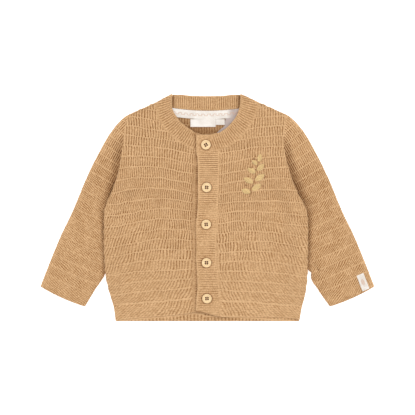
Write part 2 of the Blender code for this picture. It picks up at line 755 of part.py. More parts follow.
def main():
    for obj in list(bpy.data.objects):
        bpy.data.objects.remove(obj)
    cardigan = bpy.data.collections.new("cardigan")
    cutters = bpy.data.collections.new("cutters")
    for collection in (cardigan, cutters):
        bpy.context.scene.collection.children.link(collection)
    knit = new_material("camel_knit", (0.60, 0.36, 0.18), 0.95)
    wood = new_material("pale_wood", (0.93, 0.74, 0.45), 0.5)
    thread = new_material("camel_thread", (0.60, 0.36, 0.18), 0.8)
    woven = new_material("white_tape", (0.90, 0.88, 0.85), 0.8)
    add_back(cardigan, knit)
    for side in SIGN:
        add_front(side, cardigan, knit)
        add_sleeve(side, cardigan, knit)
    add_neckband(cardigan, knit)
    add_bands(cardigan, knit)
    cut_buttonholes(cardigan, cutters)
    add_buttons(cardigan, cutters, wood, thread)
    add_tape_and_labels(cardigan, woven)
    add_cuff_label(cardigan, woven)


main()
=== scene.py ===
import json
import math
from collections import namedtuple

import bmesh
import bpy
import numpy as np
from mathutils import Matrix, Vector

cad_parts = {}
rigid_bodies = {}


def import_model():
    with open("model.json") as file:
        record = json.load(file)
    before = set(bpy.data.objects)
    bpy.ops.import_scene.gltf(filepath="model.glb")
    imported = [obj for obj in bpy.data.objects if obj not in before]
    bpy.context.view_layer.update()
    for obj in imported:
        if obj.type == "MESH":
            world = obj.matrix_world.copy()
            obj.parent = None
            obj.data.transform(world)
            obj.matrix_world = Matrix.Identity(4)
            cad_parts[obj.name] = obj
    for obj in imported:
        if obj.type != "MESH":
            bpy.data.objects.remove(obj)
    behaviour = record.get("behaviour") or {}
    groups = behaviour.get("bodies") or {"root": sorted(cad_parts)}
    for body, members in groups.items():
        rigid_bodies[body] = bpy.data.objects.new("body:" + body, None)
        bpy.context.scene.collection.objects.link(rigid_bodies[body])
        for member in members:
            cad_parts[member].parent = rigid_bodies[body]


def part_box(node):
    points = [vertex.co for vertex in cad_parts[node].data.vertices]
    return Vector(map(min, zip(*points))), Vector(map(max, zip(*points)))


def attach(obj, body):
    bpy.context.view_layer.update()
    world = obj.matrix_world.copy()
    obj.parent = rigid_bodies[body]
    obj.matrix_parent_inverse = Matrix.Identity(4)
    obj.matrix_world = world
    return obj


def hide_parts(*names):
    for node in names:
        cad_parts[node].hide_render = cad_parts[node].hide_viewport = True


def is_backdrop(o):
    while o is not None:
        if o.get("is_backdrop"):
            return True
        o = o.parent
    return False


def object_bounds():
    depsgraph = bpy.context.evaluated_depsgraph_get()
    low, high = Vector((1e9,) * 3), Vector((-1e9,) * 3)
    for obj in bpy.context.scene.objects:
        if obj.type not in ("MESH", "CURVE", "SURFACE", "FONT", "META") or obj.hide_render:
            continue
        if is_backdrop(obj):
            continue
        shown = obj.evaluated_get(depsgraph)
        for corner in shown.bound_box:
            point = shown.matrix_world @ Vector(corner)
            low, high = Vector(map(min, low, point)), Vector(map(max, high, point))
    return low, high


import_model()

cad_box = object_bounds()

bl_info = {
    "name": "Knitted cardigan",
    "version": (1, 0, 0),
    "blender": (4, 5, 0),
    "location": "View3D > Sidebar > Cardigan",
    "description": "Dresses a baby's button-front cardigan in rib knit, wood and woven tape",
    "category": "Mesh",
}

# Sizes are in millimetres until a mesh is made. The form is the source's own, so its names are kept.
MM = 0.001

WALL = 2.0
BAND_WALL = 2.1
SEAM = 0.1
SLEEVE_SEAM = 0.1
LAYER = 0.3
EDGE_GAP = 0.2
AIR_SIDE = 1.6
AIR_CENTRE = 0.6
THICK = 2 * WALL + AIR_SIDE
FOLD = THICK / 2
TAIL = 0.6
ROLL = FOLD - EDGE_GAP / 2 - TAIL
LAP = BAND_WALL + LAYER
TUCK = THICK + 0.4

SHOULDER_TIP = (101.5, 121.5)
NECK_POINT = (67.5, 136.5)
NECK_PEAK = {"right": (46.6, 147.7), "left": (43.8, 147.7)}
BACK_NECK_Y = 126.5
BACK_NECK_RISE = 7.5
BACK_BAND_Y = 144.6
CUFF = ((217.2, -102.3), (158.8, -128.8))
CUFF_BOW = 2.0

LOWER_BAND = (9.5, -18.0)
LOWER_BAND_TOP = -15.1
UPPER_BAND_FOOT = (-133.9, -141.0)
LOWER_BAND_FOOT = (-136.0, -139.0)
NECK_START = 15.5
NECK_END = {"right": -9.5, "left": -14.2}
NECK_END_SEAM = 69.0
NECK_END_FREE = {"right": 93.2, "left": 94.1}
LAP_RUN = (17.2, 52.0)
BUTTONHOLE = (15.6, 2.2)


def table(kind, *rows):
    return tuple(kind(*row) for row in rows)


Edge = namedtuple("Edge", "y right left")
BODY_EDGE = table(
    Edge,
    (-147.7, 119.5, 119.8), (-131.0, 121.6, 122.6), (-115.0, 126.3, 126.8), (-100.0, 130.0, 129.0),
    (-85.0, 132.6, 130.0), (-55.0, 134.3, 130.6), (-25.0, 134.6, 130.9), (-8.0, 134.2, 129.6),
    (4.0, 131.6, 125.6), (18.0, 125.5, 117.8), (33.0, 120.0, 111.5), (48.0, 115.8, 106.8),
    (64.0, 112.4, 102.0), (80.0, 109.8, 99.3), (92.0, 108.6, 99.5), (105.0, 107.0, 100.8),
    (121.5, 101.5, 101.5),
)
UNDERARM_FOLD = table(
    Edge,
    (-128.8, 158.8, 158.8), (-107.4, 146.0, 143.8), (-90.0, 134.6, 134.4), (-85.5, 132.4, 134.9),
    (-81.0, 130.4, 130.2), (-77.0, 128.5, 127.6), (-64.0, 125.6, 123.4), (-48.0, 125.5, 122.5),
    (-30.0, 125.0, 121.3), (-12.0, 123.0, 118.4), (2.5, 121.5, 115.0),
)
Station = namedtuple("Station", "x y turn")
OUTER_FOLD = table(
    Station,
    (SHOULDER_TIP[0] + SLEEVE_SEAM, SHOULDER_TIP[1], 42.0), (106.4, 118.8, 41.0), (122.0, 103.2, 38.0),
    (140.8, 72.0, 31.0), (156.4, 40.8, 27.0), (176.0, -6.0, 24.5), (191.0, -37.2, 24.0),
    (204.0, -68.4, 24.0), (*CUFF[0], 24.2),
)
Point = namedtuple("Point", "x y")
HEAD_LOW_Y = 20.0
HEAD_STEPS = (Point(4.1, 9.5), Point(3.5, 3.8), Point(0.0, 0.0))
FRONT_HEM = {
    "right": table(
        Point,
        (18.4, -136.0), (26.0, -137.6), (36.0, -139.0), (59.0, -141.0), (77.0, -142.2), (95.0, -143.8),
        (110.0, -145.3), (119.5, -146.3),
    ),
    "left": table(
        Point,
        (15.5, -141.0), (24.0, -141.6), (68.0, -142.5), (107.0, -143.4), (119.8, -145.8),
    ),
}
BandRow = namedtuple("BandRow", "y free seam")
UPPER_BAND = table(
    BandRow,
    (-140.0, -14.8, 16.8), (-122.0, -14.2, 16.2), (-104.0, -12.8, 15.2), (-85.0, -13.2, 13.9),
    (-65.0, -14.4, 11.8), (-45.0, -14.0, 10.8), (-25.0, -14.8, 12.3), (-8.0, -13.0, 12.9),
    (12.0, -12.0, 13.6), (45.0, -12.0, 14.7), (64.0, -12.5, 15.1), (71.0, -14.0, 15.1),
)
NeckRow = namedtuple("NeckRow", "seam_x seam_y free_x free_y")
FRONT_NECK = {
    "right": table(
        NeckRow,
        (NECK_START, 75.0, NECK_START, 96.8), (31.5, 82.5, 25.0, 103.0), (45.5, 92.5, 33.8, 109.6),
        (56.0, 103.5, 40.2, 117.5), (63.0, 115.0, 46.2, 130.0), (*NECK_POINT, *NECK_PEAK["right"]),
    ),
    "left": table(
        NeckRow,
        (NECK_START, 75.0, NECK_START, 96.8), (31.0, 81.5, 24.6, 102.6), (43.5, 91.0, 32.0, 110.3),
        (52.5, 102.0, 38.0, 118.6), (60.0, 114.5, 42.2, 130.5), (*NECK_POINT, *NECK_PEAK["left"]),
    ),
}
ButtonRow = namedtuple("ButtonRow", "x y turn")
BUTTONS = table(
    ButtonRow,
    (-2.0, 81.3, 32.0), (-1.0, 26.0, -4.0), (-1.6, -22.0, 5.0), (-1.2, -71.8, 0.0), (-0.6, -118.3, 3.0),
)
SIGN = {"right": -1, "left": 1}

# How the knit is made
RIDGE_STEP = 13.42  # between two raised lines across the ribs
BodyPitch = namedtuple("BodyPitch", "y pitch")
BODY_PITCH = table(  # of the ribs, which spread a little towards the hem and the shoulders
    BodyPitch,
    (-148.0, 4.5), (-110.0, 4.25), (-75.0, 3.9), (-35.0, 3.4), (-10.0, 2.95), (20.0, 2.68),
    (58.0, 3.05), (82.0, 3.35), (137.0, 3.5),
)
Ridge = namedtuple("Ridge", "number at_20 at_40 at_60 at_80 at_100 at_120")
RIDGES = {  # heights of some of the raised lines over a front, at distances from its middle
    "right": table(
        Ridge,
        (2, 94.0, 97.0, 99.4, 102.7, 106.0, 107.5), (4, 69.5, 74.0, 77.8, 79.2, 80.9, 82.0),
        (6, 43.8, 47.6, 51.8, 53.2, 52.4, 49.5), (8, 17.5, 22.0, 24.7, 25.0, 23.4, 18.5),
        (10, -4.8, -2.3, -1.4, -3.8, -7.6, -11.0), (12, -30.4, -28.6, -28.2, -31.0, -34.3, -39.0),
        (14, -55.5, -54.7, -54.3, -56.2, -60.0, -64.0), (16, -80.7, -81.4, -82.0, -82.8, -84.4, -88.0),
        (18, -103.8, -106.2, -107.8, -109.2, -111.5, -114.0),
        (19, -117.4, -119.8, -121.7, -123.2, -124.9, -126.3),
    ),
    "left": table(
        Ridge,
        (2, 96.0, 99.5, 103.0, 105.5, 106.0, 104.0), (4, 70.8, 74.0, 78.0, 79.1, 79.5, 78.0),
        (6, 43.3, 47.3, 50.0, 51.2, 52.2, 50.0), (8, 17.7, 20.6, 21.4, 23.0, 23.3, 21.0),
        (10, -7.6, -4.9, -5.2, -6.2, -7.8, -9.8), (12, -34.1, -30.9, -30.9, -31.9, -34.5, -38.0),
        (14, -59.3, -56.8, -56.9, -57.4, -60.0, -63.7), (16, -83.5, -82.7, -83.6, -84.5, -86.0, -89.8),
        (18, -107.6, -108.8, -109.8, -111.2, -113.2, -115.5),
        (19, -120.8, -121.9, -122.8, -124.9, -126.2, -127.9),
    ),
}
RIDGE_PLACES = (20, 40, 60, 80, 100, 120)
RIB_STEP, RIB_TURN = 0.3, 5.1  # how far, in ribs, and how the ribs step aside from band to band
BACK_RIB, FRONT_RIB = 2.82, 2.95  # of the neckband's ribs, behind and in front
HEM_PITCH = 4.5  # of the ribs inside the back at the hem
BAND_RIB, LOW_BAND_RIB = 2.68, 3.07  # of the front bands' ribs, above the second button and below it
SLEEVE_RIB = 2.62
NECK_SLANT = 2.6  # how far the neckband's ribs slant over its width in front, in ribs
HEM_STEP = 21.0  # from the lowest raised line to the next, which would be off the cloth
TOP_STEP = 12.6  # between the raised lines above the highest that is listed
COURSES = 8.6  # of stitches, from one raised line to the next
LINE_WIDTH = 0.7
FRONT_SEED = {"right": 11, "left": 23}
BACK_SEED = 41
SLEEVE_SEED = {"right": 61, "left": 67}
KNIT_WALL, SHOWN_BAND_WALL = 1.7, 1.8  # of the shown cloth: the solids' less the room for its relief
FRONT_PLAIN_TOP, BACK_PLAIN_TOP = 58.0, 60.0  # where the rows of a panel start to follow the neck and shoulder
RING_RADIUS, RING_SHADE = 6.3, 0.65  # of the shade round each button

# Buttons, thread and tape
BUTTON_THICK = 2.8
HOLE_REACH, HOLE_RADIUS = 1.75, 1.15
TAPE_WALL = 0.7
TAPE_GRID = 2.8  # places a millimetre


# Curves and small sums


def smooth(xs, ys):
    """A smooth function through the rows of a table, which never overshoots them."""
    xs, ys = np.asarray(xs, float), np.asarray(ys, float)
    gap = np.diff(xs)
    slope = np.diff(ys) / gap
    tangent = np.concatenate([slope[:1], np.zeros(len(xs) - 2), slope[-1:]])
    for i in range(1, len(xs) - 1):
        if slope[i - 1] * slope[i] > 0:
            a, b = 2 * gap[i] + gap[i - 1], gap[i] + 2 * gap[i - 1]
            tangent[i] = (a + b) / (a / slope[i - 1] + b / slope[i])

    def value(x):
        x = np.clip(x, xs[0], xs[-1])
        i = np.clip(np.searchsorted(xs, x) - 1, 0, len(xs) - 2)
        t = (x - xs[i]) / gap[i]
        start, end = ys[i] * (1 + 2 * t), ys[i + 1] * (3 - 2 * t)
        return (
            (1 - t) ** 2 * (start + gap[i] * tangent[i] * t)
            + t * t * (end - gap[i] * tangent[i + 1] * (1 - t))
        )

    return value


def ease(start, end, x):
    """0 before start, 1 after end, and smooth between them."""
    t = np.clip((np.asarray(x, float) - start) / (end - start), 0, 1)
    return t * t * (3 - 2 * t)


def fade(start, end, x):
    """1 before start, 0 after end, and smooth between them."""
    return 1 - ease(start, end, x)


def together(*layers):
    """Several arrays of numbers as one, side by side on a new last axis."""
    return np.stack(np.broadcast_arrays(*layers), axis=-1)


def uneven(x, y, size, seed):
    """A slow uneven swing between about -1 and 1 over a plane, size mm from one high place to the next."""
    draws = np.random.default_rng(seed)
    total = 0
    for _ in range(7):
        turn, start = draws.uniform(0, 2 * math.pi, 2)
        pace = 2 * math.pi / size * draws.uniform(0.6, 1.6)
        total = total + np.sin((x * math.cos(turn) + y * math.sin(turn)) * pace + start)
    return np.clip(total / 2.6, -1.3, 1.3)


def turned_edge(distance, most):
    """Where cloth lies that is this far in from an edge which turns down by the angle most, measured over the
    cloth: how far in it is in plan, and how far down."""
    past = np.clip(distance - TAIL, 0, None)
    before = np.clip(TAIL - distance, 0, None)
    angle = np.clip(most - past / ROLL, 0, None)
    level = np.clip(past - ROLL * most, 0, None)
    inward = (TAIL - before) * np.cos(most) + ROLL * (np.sin(most) - np.sin(angle)) + level
    return inward, before * np.sin(most) + ROLL * (1 - np.cos(angle))


def edge_curve(rows, column):
    return smooth([row.y for row in rows], [getattr(row, column) for row in rows])


def path_lengths(points):
    return np.append(0, np.cumsum(np.linalg.norm(np.diff(points, axis=0), axis=1)))


def along_points(points):
    """A smooth path through points, as a function of the share of its length."""
    share = path_lengths(points) / path_lengths(points)[-1]
    x, y = (smooth(share, np.array(points)[:, axis]) for axis in (0, 1))
    return lambda place: together(x(place), y(place))


body_edge = {side: edge_curve(BODY_EDGE, side) for side in SIGN}
front_hem = {side: smooth(*zip(*FRONT_HEM[side])) for side in SIGN}
upper_band_free = edge_curve(UPPER_BAND, "free")
upper_band_seam = edge_curve(UPPER_BAND, "seam")
neck_seam = {side: along_points([(row.seam_x, row.seam_y) for row in FRONT_NECK[side]]) for side in SIGN}
neck_free = {side: along_points([(row.free_x, row.free_y) for row in FRONT_NECK[side]]) for side in SIGN}
body_pitch = edge_curve(BODY_PITCH, "pitch")


def back_neck_y(x):
    return BACK_NECK_Y + BACK_NECK_RISE * (x / (NECK_POINT[0] - 1.7)) ** 2


def outward(start, end):
    """The direction across the line from start to end that points up and away from the body."""
    ahead = np.subtract(end, start)
    return np.abs([ahead[1], ahead[0]]) / np.linalg.norm(ahead)


OVER_SHOULDER = outward(NECK_POINT, SHOULDER_TIP)
SHOULDER_END = SHOULDER_TIP - ROLL * OVER_SHOULDER


def lower_band_seam(y):
    return LOWER_BAND_TOP + (LOWER_BAND[1] - LOWER_BAND_TOP) * fade(20, 70, y)


def inner_edge(side, y):
    """The edge of a front at its band."""
    return (-lower_band_seam(y) if side == "right" else upper_band_seam(y)) + SEAM


def neck_end_seam(x):
    rise = FRONT_NECK["left"][0].seam_y - NECK_END_SEAM
    return NECK_END_SEAM + rise * (x - NECK_END["left"]) / (NECK_START - NECK_END["left"])


def neck_end_free(side, x):
    rise = FRONT_NECK[side][0].free_y - NECK_END_FREE[side]
    return NECK_END_FREE[side] + rise * ease(2, NECK_START, x)


# Heights


def lift(x, y):
    """How high the back's underside is held by the sleeve tucked under the side."""
    inside = np.where(x < 0, body_edge["right"](y), body_edge["left"](y)) - np.abs(x)
    return TUCK * fade(12, 34, inside) * ease(-122, -93, y) * fade(HEAD_LOW_Y, 56, y)


def front_floor(x, y):
    """The underside of the fronts, the lower front band and the front of the neckband."""
    air = AIR_CENTRE + (AIR_SIDE - AIR_CENTRE) * np.maximum(ease(25, 85, np.abs(x)), ease(68, 94, y))
    return lift(x, y) + WALL + air


def lap(side, x):
    """How far the wearer's left front is raised towards the band that lies on the other one."""
    return LAP * fade(*LAP_RUN, x) if side == "left" else 0 * x


# Knit


def chance(number, seed):
    """A fixed number between -1 and 1 for each whole number, different for each seed."""
    value = np.sin(np.asarray(number, float) * 12.9898 + seed * 78.233) * 43758.5453
    return 2 * (value - np.floor(value)) - 1


def front_ridges(side, x, y):
    """The count of raised lines at places on a front or on the same side of the back."""
    rows = RIDGES[side]
    heights = [smooth(RIDGE_PLACES, row[1:])(x) for row in rows]
    count = rows[0].number - np.clip(y - heights[0], 0, None) / TOP_STEP
    for first, second, high, low in zip(rows, rows[1:], heights, heights[1:]):
        count = count + (second.number - first.number) * np.clip((high - y) / (high - low), 0, 1)
    return count + np.clip(heights[-1] - y, 0, None) / HEM_STEP


def per_band(ridges, value):
    """value(band) for the band between two raised lines that each place is in, run together at the lines."""
    band = np.floor(ridges)
    part = ridges - band
    before, here, after = value(band - 1), value(band), value(band + 1)
    low, high = 1 - ease(0, 0.07, part), ease(0.93, 1, part)
    return here + 0.5 * low * (before - here) + 0.5 * high * (after - here)


def body_pattern(side, x, y, seed):
    """Counts of ribs, raised lines and courses over one half of the body, at places on the flat cloth x from
    its middle, and how many ribs they lean by from one raised line to the next. In each band the ribs start
    afresh, a little aside of those above, and lean: little at the chest, and more and more outwards towards
    the hem and the sides."""
    ridges = front_ridges(side, x, y)
    pitch = body_pitch(y)
    part = ridges - np.floor(ridges) - 0.5
    step = RIDGE_STEP + (HEM_STEP - RIDGE_STEP) * ease(18.8, 19.2, ridges)
    lean = per_band(ridges, lambda band: 0.06 * chance(band, seed)) + 0.08 * uneven(x, y * 0.4, 38, seed + 2)
    outwards = 0.2 * ease(45, 75, x) + 0.15 * ease(80, 110, x)
    lean = lean * fade(14, 16, ridges) + outwards * ease(10, 11, ridges)
    lean = lean + (0.35 + 0.3 * ease(40, 100, x)) * ease(15.6, 16.4, ridges)
    lean = lean + (0.15 + 0.2 * ease(50, 110, x)) * ease(17.8, 19.2, ridges)
    bend = 0.2 * np.sin(4 * math.pi * part) * ease(70, 95, x) * ease(6.5, 8, ridges) * fade(10, 11.5, ridges)
    waver = (0.1 + 0.12 * ease(5, 11, ridges)) * uneven(x, y, 24, seed + 9)
    ribs = x / pitch + bend + waver
    spread = x * (1 / body_pitch(y + 1) - 1 / body_pitch(y - 1)) / 2
    wavy = 0.03 * uneven(x, y, 19, seed + 3) + 0.02 * np.cos(2 * math.pi * ribs)
    ridges = ridges + wavy * fade(19, 19.3, ridges)
    return ribs, ridges, ridges * COURSES, (lean / pitch - spread) * step


def leaning(ribs, ridges, lean):
    """The count of ribs with their lean between two raised lines, and their step aside at each line."""
    band = np.floor(ridges)
    return ribs - lean * (ridges - band - 0.5) + RIB_STEP * np.sin(RIB_TURN * band)


def rib_slots(ribs):
    """1 along the bottom of each slot between two ribs, and 0 on the ribs."""
    return ease(-0.05, 0.85, -np.cos(2 * math.pi * ribs))


def ridge_line(ridges):
    """1 along the top of each raised line across the ribs."""
    away = np.abs((ridges + 0.5) % 1 - 0.5) * RIDGE_STEP
    return np.exp(-((away / LINE_WIDTH) ** 2))


def body_relief(knit, ribs, ridges, depth):
    """How far the knit of the body stands off its form: slots between the ribs, and raised lines."""
    line = ridge_line(ridges)
    return knit.ridge_height * line - knit.rib_depth * rib_slots(ribs) * depth * (1 - line)


def body_depth(x, y, ridges, seed):
    """How deep the slots are from place to place: deep to below the chest, then worn towards the hem."""
    sides = 0.16 * ease(6, 10, ridges) * ease(35, 70, x)
    worn = 0.87 + 0.12 * ease(6, 9, ridges) - sides - 0.34 * ease(13, 17, ridges)
    patch = 0.5 + 0.5 * uneven(x, y * 1.6, 30, seed) + 0.3 * uneven(x, y * 1.6, 11, seed + 1)
    faint = 0.12 + 0.22 * ease(7, 11, ridges) * fade(15.5, 16.5, ridges)
    return np.clip(worn * (1 - faint * fade(0.1, 0.7, patch)) * (0.85 + 0.2 * patch), 0.05, 1.1)


def line_strength(x, y, ridges, seed):
    """How strongly the raised lines are painted lighter, as a painted highlight: a little less below the chest,
    and more near the hem.
    """
    level = 0.9 - 0.1 * ease(10, 13, ridges) + 0.5 * ease(14, 16, ridges)
    return np.clip(level + 0.2 * uneven(x, y * 2, 24, seed + 7), 0.2, 1.4)


def side_waves(ridges, edge, y):
    """How far the knit stands out at the sides between the raised lines, which draw it in."""
    wave = -0.45 * np.cos(2 * math.pi * ridges) * fade(0, 6, edge)
    return wave * ease(-128, -90, y) * fade(6, 19, y)


# Meshes


def towards_face(points, flip, closed):
    """The unit normals of a grid of points, taken from its own rows and columns."""
    down = np.gradient(points, axis=0)
    if closed:
        wide = np.concatenate([points[:, -2:-1], points, points[:, 1:2]], axis=1)
        across = np.gradient(wide, axis=1)[:, 1:-1]
    else:
        across = np.gradient(points, axis=1)
    normal = np.cross(across, down)
    normal /= np.maximum(np.linalg.norm(normal, axis=-1, keepdims=True), 1e-9)
    return -normal if flip else normal


def edge_push(points, closed):
    """The direction off the cloth in its own plane, for places on the grid's edges."""
    push = np.zeros_like(points)
    push[0] += points[0] - points[1]
    push[-1] += points[-1] - points[-2]
    length = np.linalg.norm(push, axis=-1, keepdims=True)
    push = np.where(length > 0, push / np.maximum(length, 1e-9), 0)
    if not closed:
        for edge, inside in ((0, 1), (-1, -2)):
            side = points[:, edge] - points[:, inside]
            push[:, edge] += side / np.maximum(np.linalg.norm(side, axis=-1, keepdims=True), 1e-9)
    length = np.linalg.norm(push, axis=-1, keepdims=True)
    return push / np.maximum(length, 1e-9)


def cell_corners(rows, columns, step, closed):
    """The cells of a grid, step wide, each as its corners (row, column) in turn. Along the grid's own edges
    they keep every place, so that two grids of different steps meet there."""
    cells = []
    for top in range(0, rows - 1, step):
        bottom = min(top + step, rows - 1)
        for left in range(0, columns - 1, step):
            right = min(left + step, columns - 1)
            cell = [(top, c) for c in (range(left, right) if top == 0 else (left,))]
            fine = right == columns - 1 and not closed
            cell += [(r, right) for r in (range(top, bottom) if fine else (top,))]
            cell += [(bottom, c) for c in (range(right, left, -1) if bottom == rows - 1 else (right,))]
            fine = left == 0 and not closed
            cell += [(r, left) for r in (range(bottom, top, -1) if fine else (bottom,))]
            cells.append(cell)
    return cells


def edge_loop(rows, columns):
    """The places round the edge of a grid, ending at the first."""
    last = rows - 1, columns - 1
    loop = [(0, c) for c in range(columns)] + [(r, last[1]) for r in range(1, rows)]
    return loop + [(last[0], c) for c in range(columns - 2, -1, -1)] + [(r, 0) for r in range(rows - 2, -1, -1)]


def add_object(name, data):
    obj = bpy.data.objects.new(name, data)
    bpy.context.scene.collection.objects.link(obj)
    return obj


def set_in_model(obj, node=None):
    """Gives a piece its place in the model."""
    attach(obj, "root")
    if node:
        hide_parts(node)


def cloth_object(name, face, counts, relief, wall, marks, flip=False, closed=False, under_relief=0, step=2):
    """A closed shell of cloth. face is the grid of places on its outside, and relief how far its knit stands
    off that. counts are those of ribs and raised lines at each place, and marks the painted layers. A closed
    grid is a tube whose last column is its first."""
    pattern = together(*counts)
    rows, columns = face.shape[:2]
    across = columns - 1 if closed else columns
    normal = towards_face(face, flip, closed)
    outside = face + normal * relief[..., None]
    lining = face - normal * (wall + under_relief + 0 * relief)[..., None]
    for layer in (outside, lining):
        layer[..., 2] = np.maximum(layer[..., 2], 0)
    if closed:
        loops = [[(row, c) for c in range(columns)] for row in (0, rows - 1)]
    else:
        loops = [edge_loop(rows, columns)]
    number = np.arange(rows * across).reshape(rows, across)
    count = number.size
    points = [outside[:, :across].reshape(-1, 3), lining[:, :across].reshape(-1, 3)]
    places = [np.indices((rows, across)).reshape(2, -1).T] * 2
    cells = cell_corners(rows, columns, 1, closed)
    faces = [[int(number[r, c % across]) for r, c in cell] for cell in cells]
    seats = list(cells)
    for cell in cell_corners(rows, columns, step, closed):
        faces.append([count + int(number[r, c % across]) for r, c in reversed(cell)])
        seats.append(cell[::-1])
    push = edge_push(face, closed)
    bend = np.radians([50, 90, 130])
    total = 2 * count
    for loop in loops:
        ring = loop[:-1]
        row, column = np.array(ring).T
        base, inward = outside[row, column], lining[row, column] - outside[row, column]
        depth = np.linalg.norm(inward, axis=1)[:, None]
        rims = [number[row, column % across]]
        for angle in bend:
            bulge = push[row, column] * 0.32 * depth * math.sin(angle)
            points.append(base + inward * (1 - math.cos(angle)) / 2 + bulge)
            places.append(np.array(ring))
            rims.append(total + np.arange(len(ring)))
            total += len(ring)
        rims.append(count + number[row, column % across])
        backward = closed and loop[0][0] == 0
        for first, second in zip(rims, rims[1:]):
            for i, (a, b) in enumerate(zip(loop, loop[1:])):
                j = (i + 1) % len(ring)
                quad = [int(first[i]), int(second[i]), int(second[j]), int(first[j])]
                seat = [a, a, b, b]
                if closed and not backward:
                    quad, seat = quad[::-1], seat[::-1]
                faces.append(quad)
                seats.append(seat)
    if flip:
        faces, seats = [cell[::-1] for cell in faces], [cell[::-1] for cell in seats]
    mesh = bpy.data.meshes.new(name)
    mesh.from_pydata(np.concatenate(points) * MM, [], faces)
    flat = np.array([seat for cell in seats for seat in cell])
    knit = mesh.uv_layers.new(name="knit")
    knit.data.foreach_set("uv", pattern[flat[:, 0], flat[:, 1]].astype(np.float32).ravel())
    where = np.concatenate(places)
    for mark, amount in marks.items():
        layer = mesh.attributes.new(mark, "FLOAT", "POINT")
        amount = np.broadcast_to(amount, face.shape[:2])
        layer.data.foreach_set("value", amount[where[:, 0], where[:, 1]].astype(np.float32))
    loose = np.ones(len(mesh.vertices), bool)
    loose[np.array([corner for cell in faces for corner in cell])] = False
    mesh.shade_smooth()
    if loose.any():
        bm = bmesh.new()
        bm.from_mesh(mesh)
        bmesh.ops.delete(bm, geom=[vertex for vertex in bm.verts if not vertex.link_faces], context="VERTS")
        bm.to_mesh(mesh)
        bm.free()
    return add_object(name, mesh)


def sheet_area(points):
    """The area of a grid of places, in square metres."""
    first, second = points[1:, 1:] - points[:-1, :-1], points[1:, :-1] - points[:-1, 1:]
    return float(np.linalg.norm(np.cross(first, second), axis=-1).sum() / 2) * MM * MM


def finish_cloth(obj, face, material, node, size):
    obj.data.materials.append(material)
    set_in_model(obj, node)
    area = min(sheet_area(face), 0.999 * size[0] * size[1] * MM * MM)


# Body


def half_rows(inner, outer, columns):
    """Places across half a panel, row by row, from its inner edge to its outer one, which turns over where it
    is a side seam. Also how far down each is, and how much cloth the turn hides."""
    length = np.linalg.norm(outer - inner, axis=1)[:, None]
    most = (math.pi / 2) * fade(HEAD_LOW_Y, 75, outer[:, 1:])
    cloth = length + ROLL * (most - np.sin(most)) + TAIL * (1 - np.cos(most))
    distance = cloth * np.linspace(1, 0, columns)
    inward, drop = turned_edge(distance, most)
    plan = outer[:, None, :] + inward[..., None] * ((inner - outer) / length)[:, None, :]
    return plan, drop, (cloth - distance) - (length - inward)


def over_shoulder(plan, drop, hidden, turned, steps=8):
    """The same with the rows added that turn over at the shoulder where turned is 1, and go on flat where it
    is 0."""
    distance = np.linspace(TAIL + ROLL * math.pi / 2, 0, steps)
    inward, down = turned_edge(distance, math.pi / 2)
    plans, drops, extras = [plan[:-1]], [drop[:-1]], [0 * hidden[:-1]]
    for step in range(steps):
        ahead = np.outer(turned, (ROLL - inward[step]) * OVER_SHOULDER)
        ahead[:, 1] += (1 - turned) * (distance[0] - distance[step])
        plans.append((plan[-1] + ahead)[None])
        drops.append((drop[-1] + turned * down[step])[None])
        extras.append((turned * (distance[0] - distance[step] - (ROLL - inward[step])))[None])
    sideways = np.concatenate([hidden[:-1], np.repeat(hidden[-1:], steps, axis=0)])
    return np.concatenate(plans), np.concatenate(drops), sideways, np.concatenate(extras)


def front_grid(side, columns=204, low_rows=240, high_rows=80):
    """The outside of one front, from the hem to the shoulder and from the band to the side, and the counts of
    its knit."""
    hem = front_hem[side]
    start = float(hem(inner_edge(side, np.array(-136.0))))
    share = np.linspace(0, 1, low_rows)
    foot = float(hem(200))
    y_in, y_out = start + (FRONT_PLAIN_TOP - start) * share, foot + (FRONT_PLAIN_TOP - foot) * share
    neck = neck_seam[side](np.linspace(0, 1, 60))
    base = NECK_POINT - ROLL * OVER_SHOULDER
    path = np.vstack([[(inner_edge(side, FRONT_PLAIN_TOP), FRONT_PLAIN_TOP)], neck[:-1], [base]])
    climb = np.linspace(0, 1, high_rows + 1)[1:]
    lengths = path_lengths(path) / path_lengths(path)[-1]
    upper_in = np.stack([np.interp(climb, lengths, path[:, axis]) for axis in (0, 1)], axis=1)
    upper_y = FRONT_PLAIN_TOP + (SHOULDER_END[1] - FRONT_PLAIN_TOP) * climb
    inner = np.vstack([together(inner_edge(side, y_in), y_in), upper_in])
    y_out = np.append(y_out, upper_y)
    outer = together(body_edge[side](y_out), y_out)
    outer[-1] = SHOULDER_END
    plan, drop, hidden = half_rows(inner, outer, columns)
    fade = 1 - ease(0, 0.3, np.arange(len(plan)) / low_rows)
    plan[..., 1] += fade[:, None] * (hem(plan[0, :, 0]) - plan[0, :, 1])
    plan, drop, hidden, extra = over_shoulder(plan, drop, hidden, np.ones(columns))
    x, y = SIGN[side] * plan[..., 0], plan[..., 1]
    z = front_floor(x, y) + WALL + lap(side, x) - drop
    flat_x, flat_y = plan[..., 0] + hidden, y + extra
    return together(x, y, z), flat_x, flat_y


def front_swell(x, y):
    """How far the fronts rise and sink from place to place, the sprig with them."""
    return 0.35 * uneven(x, y, 55, 3)


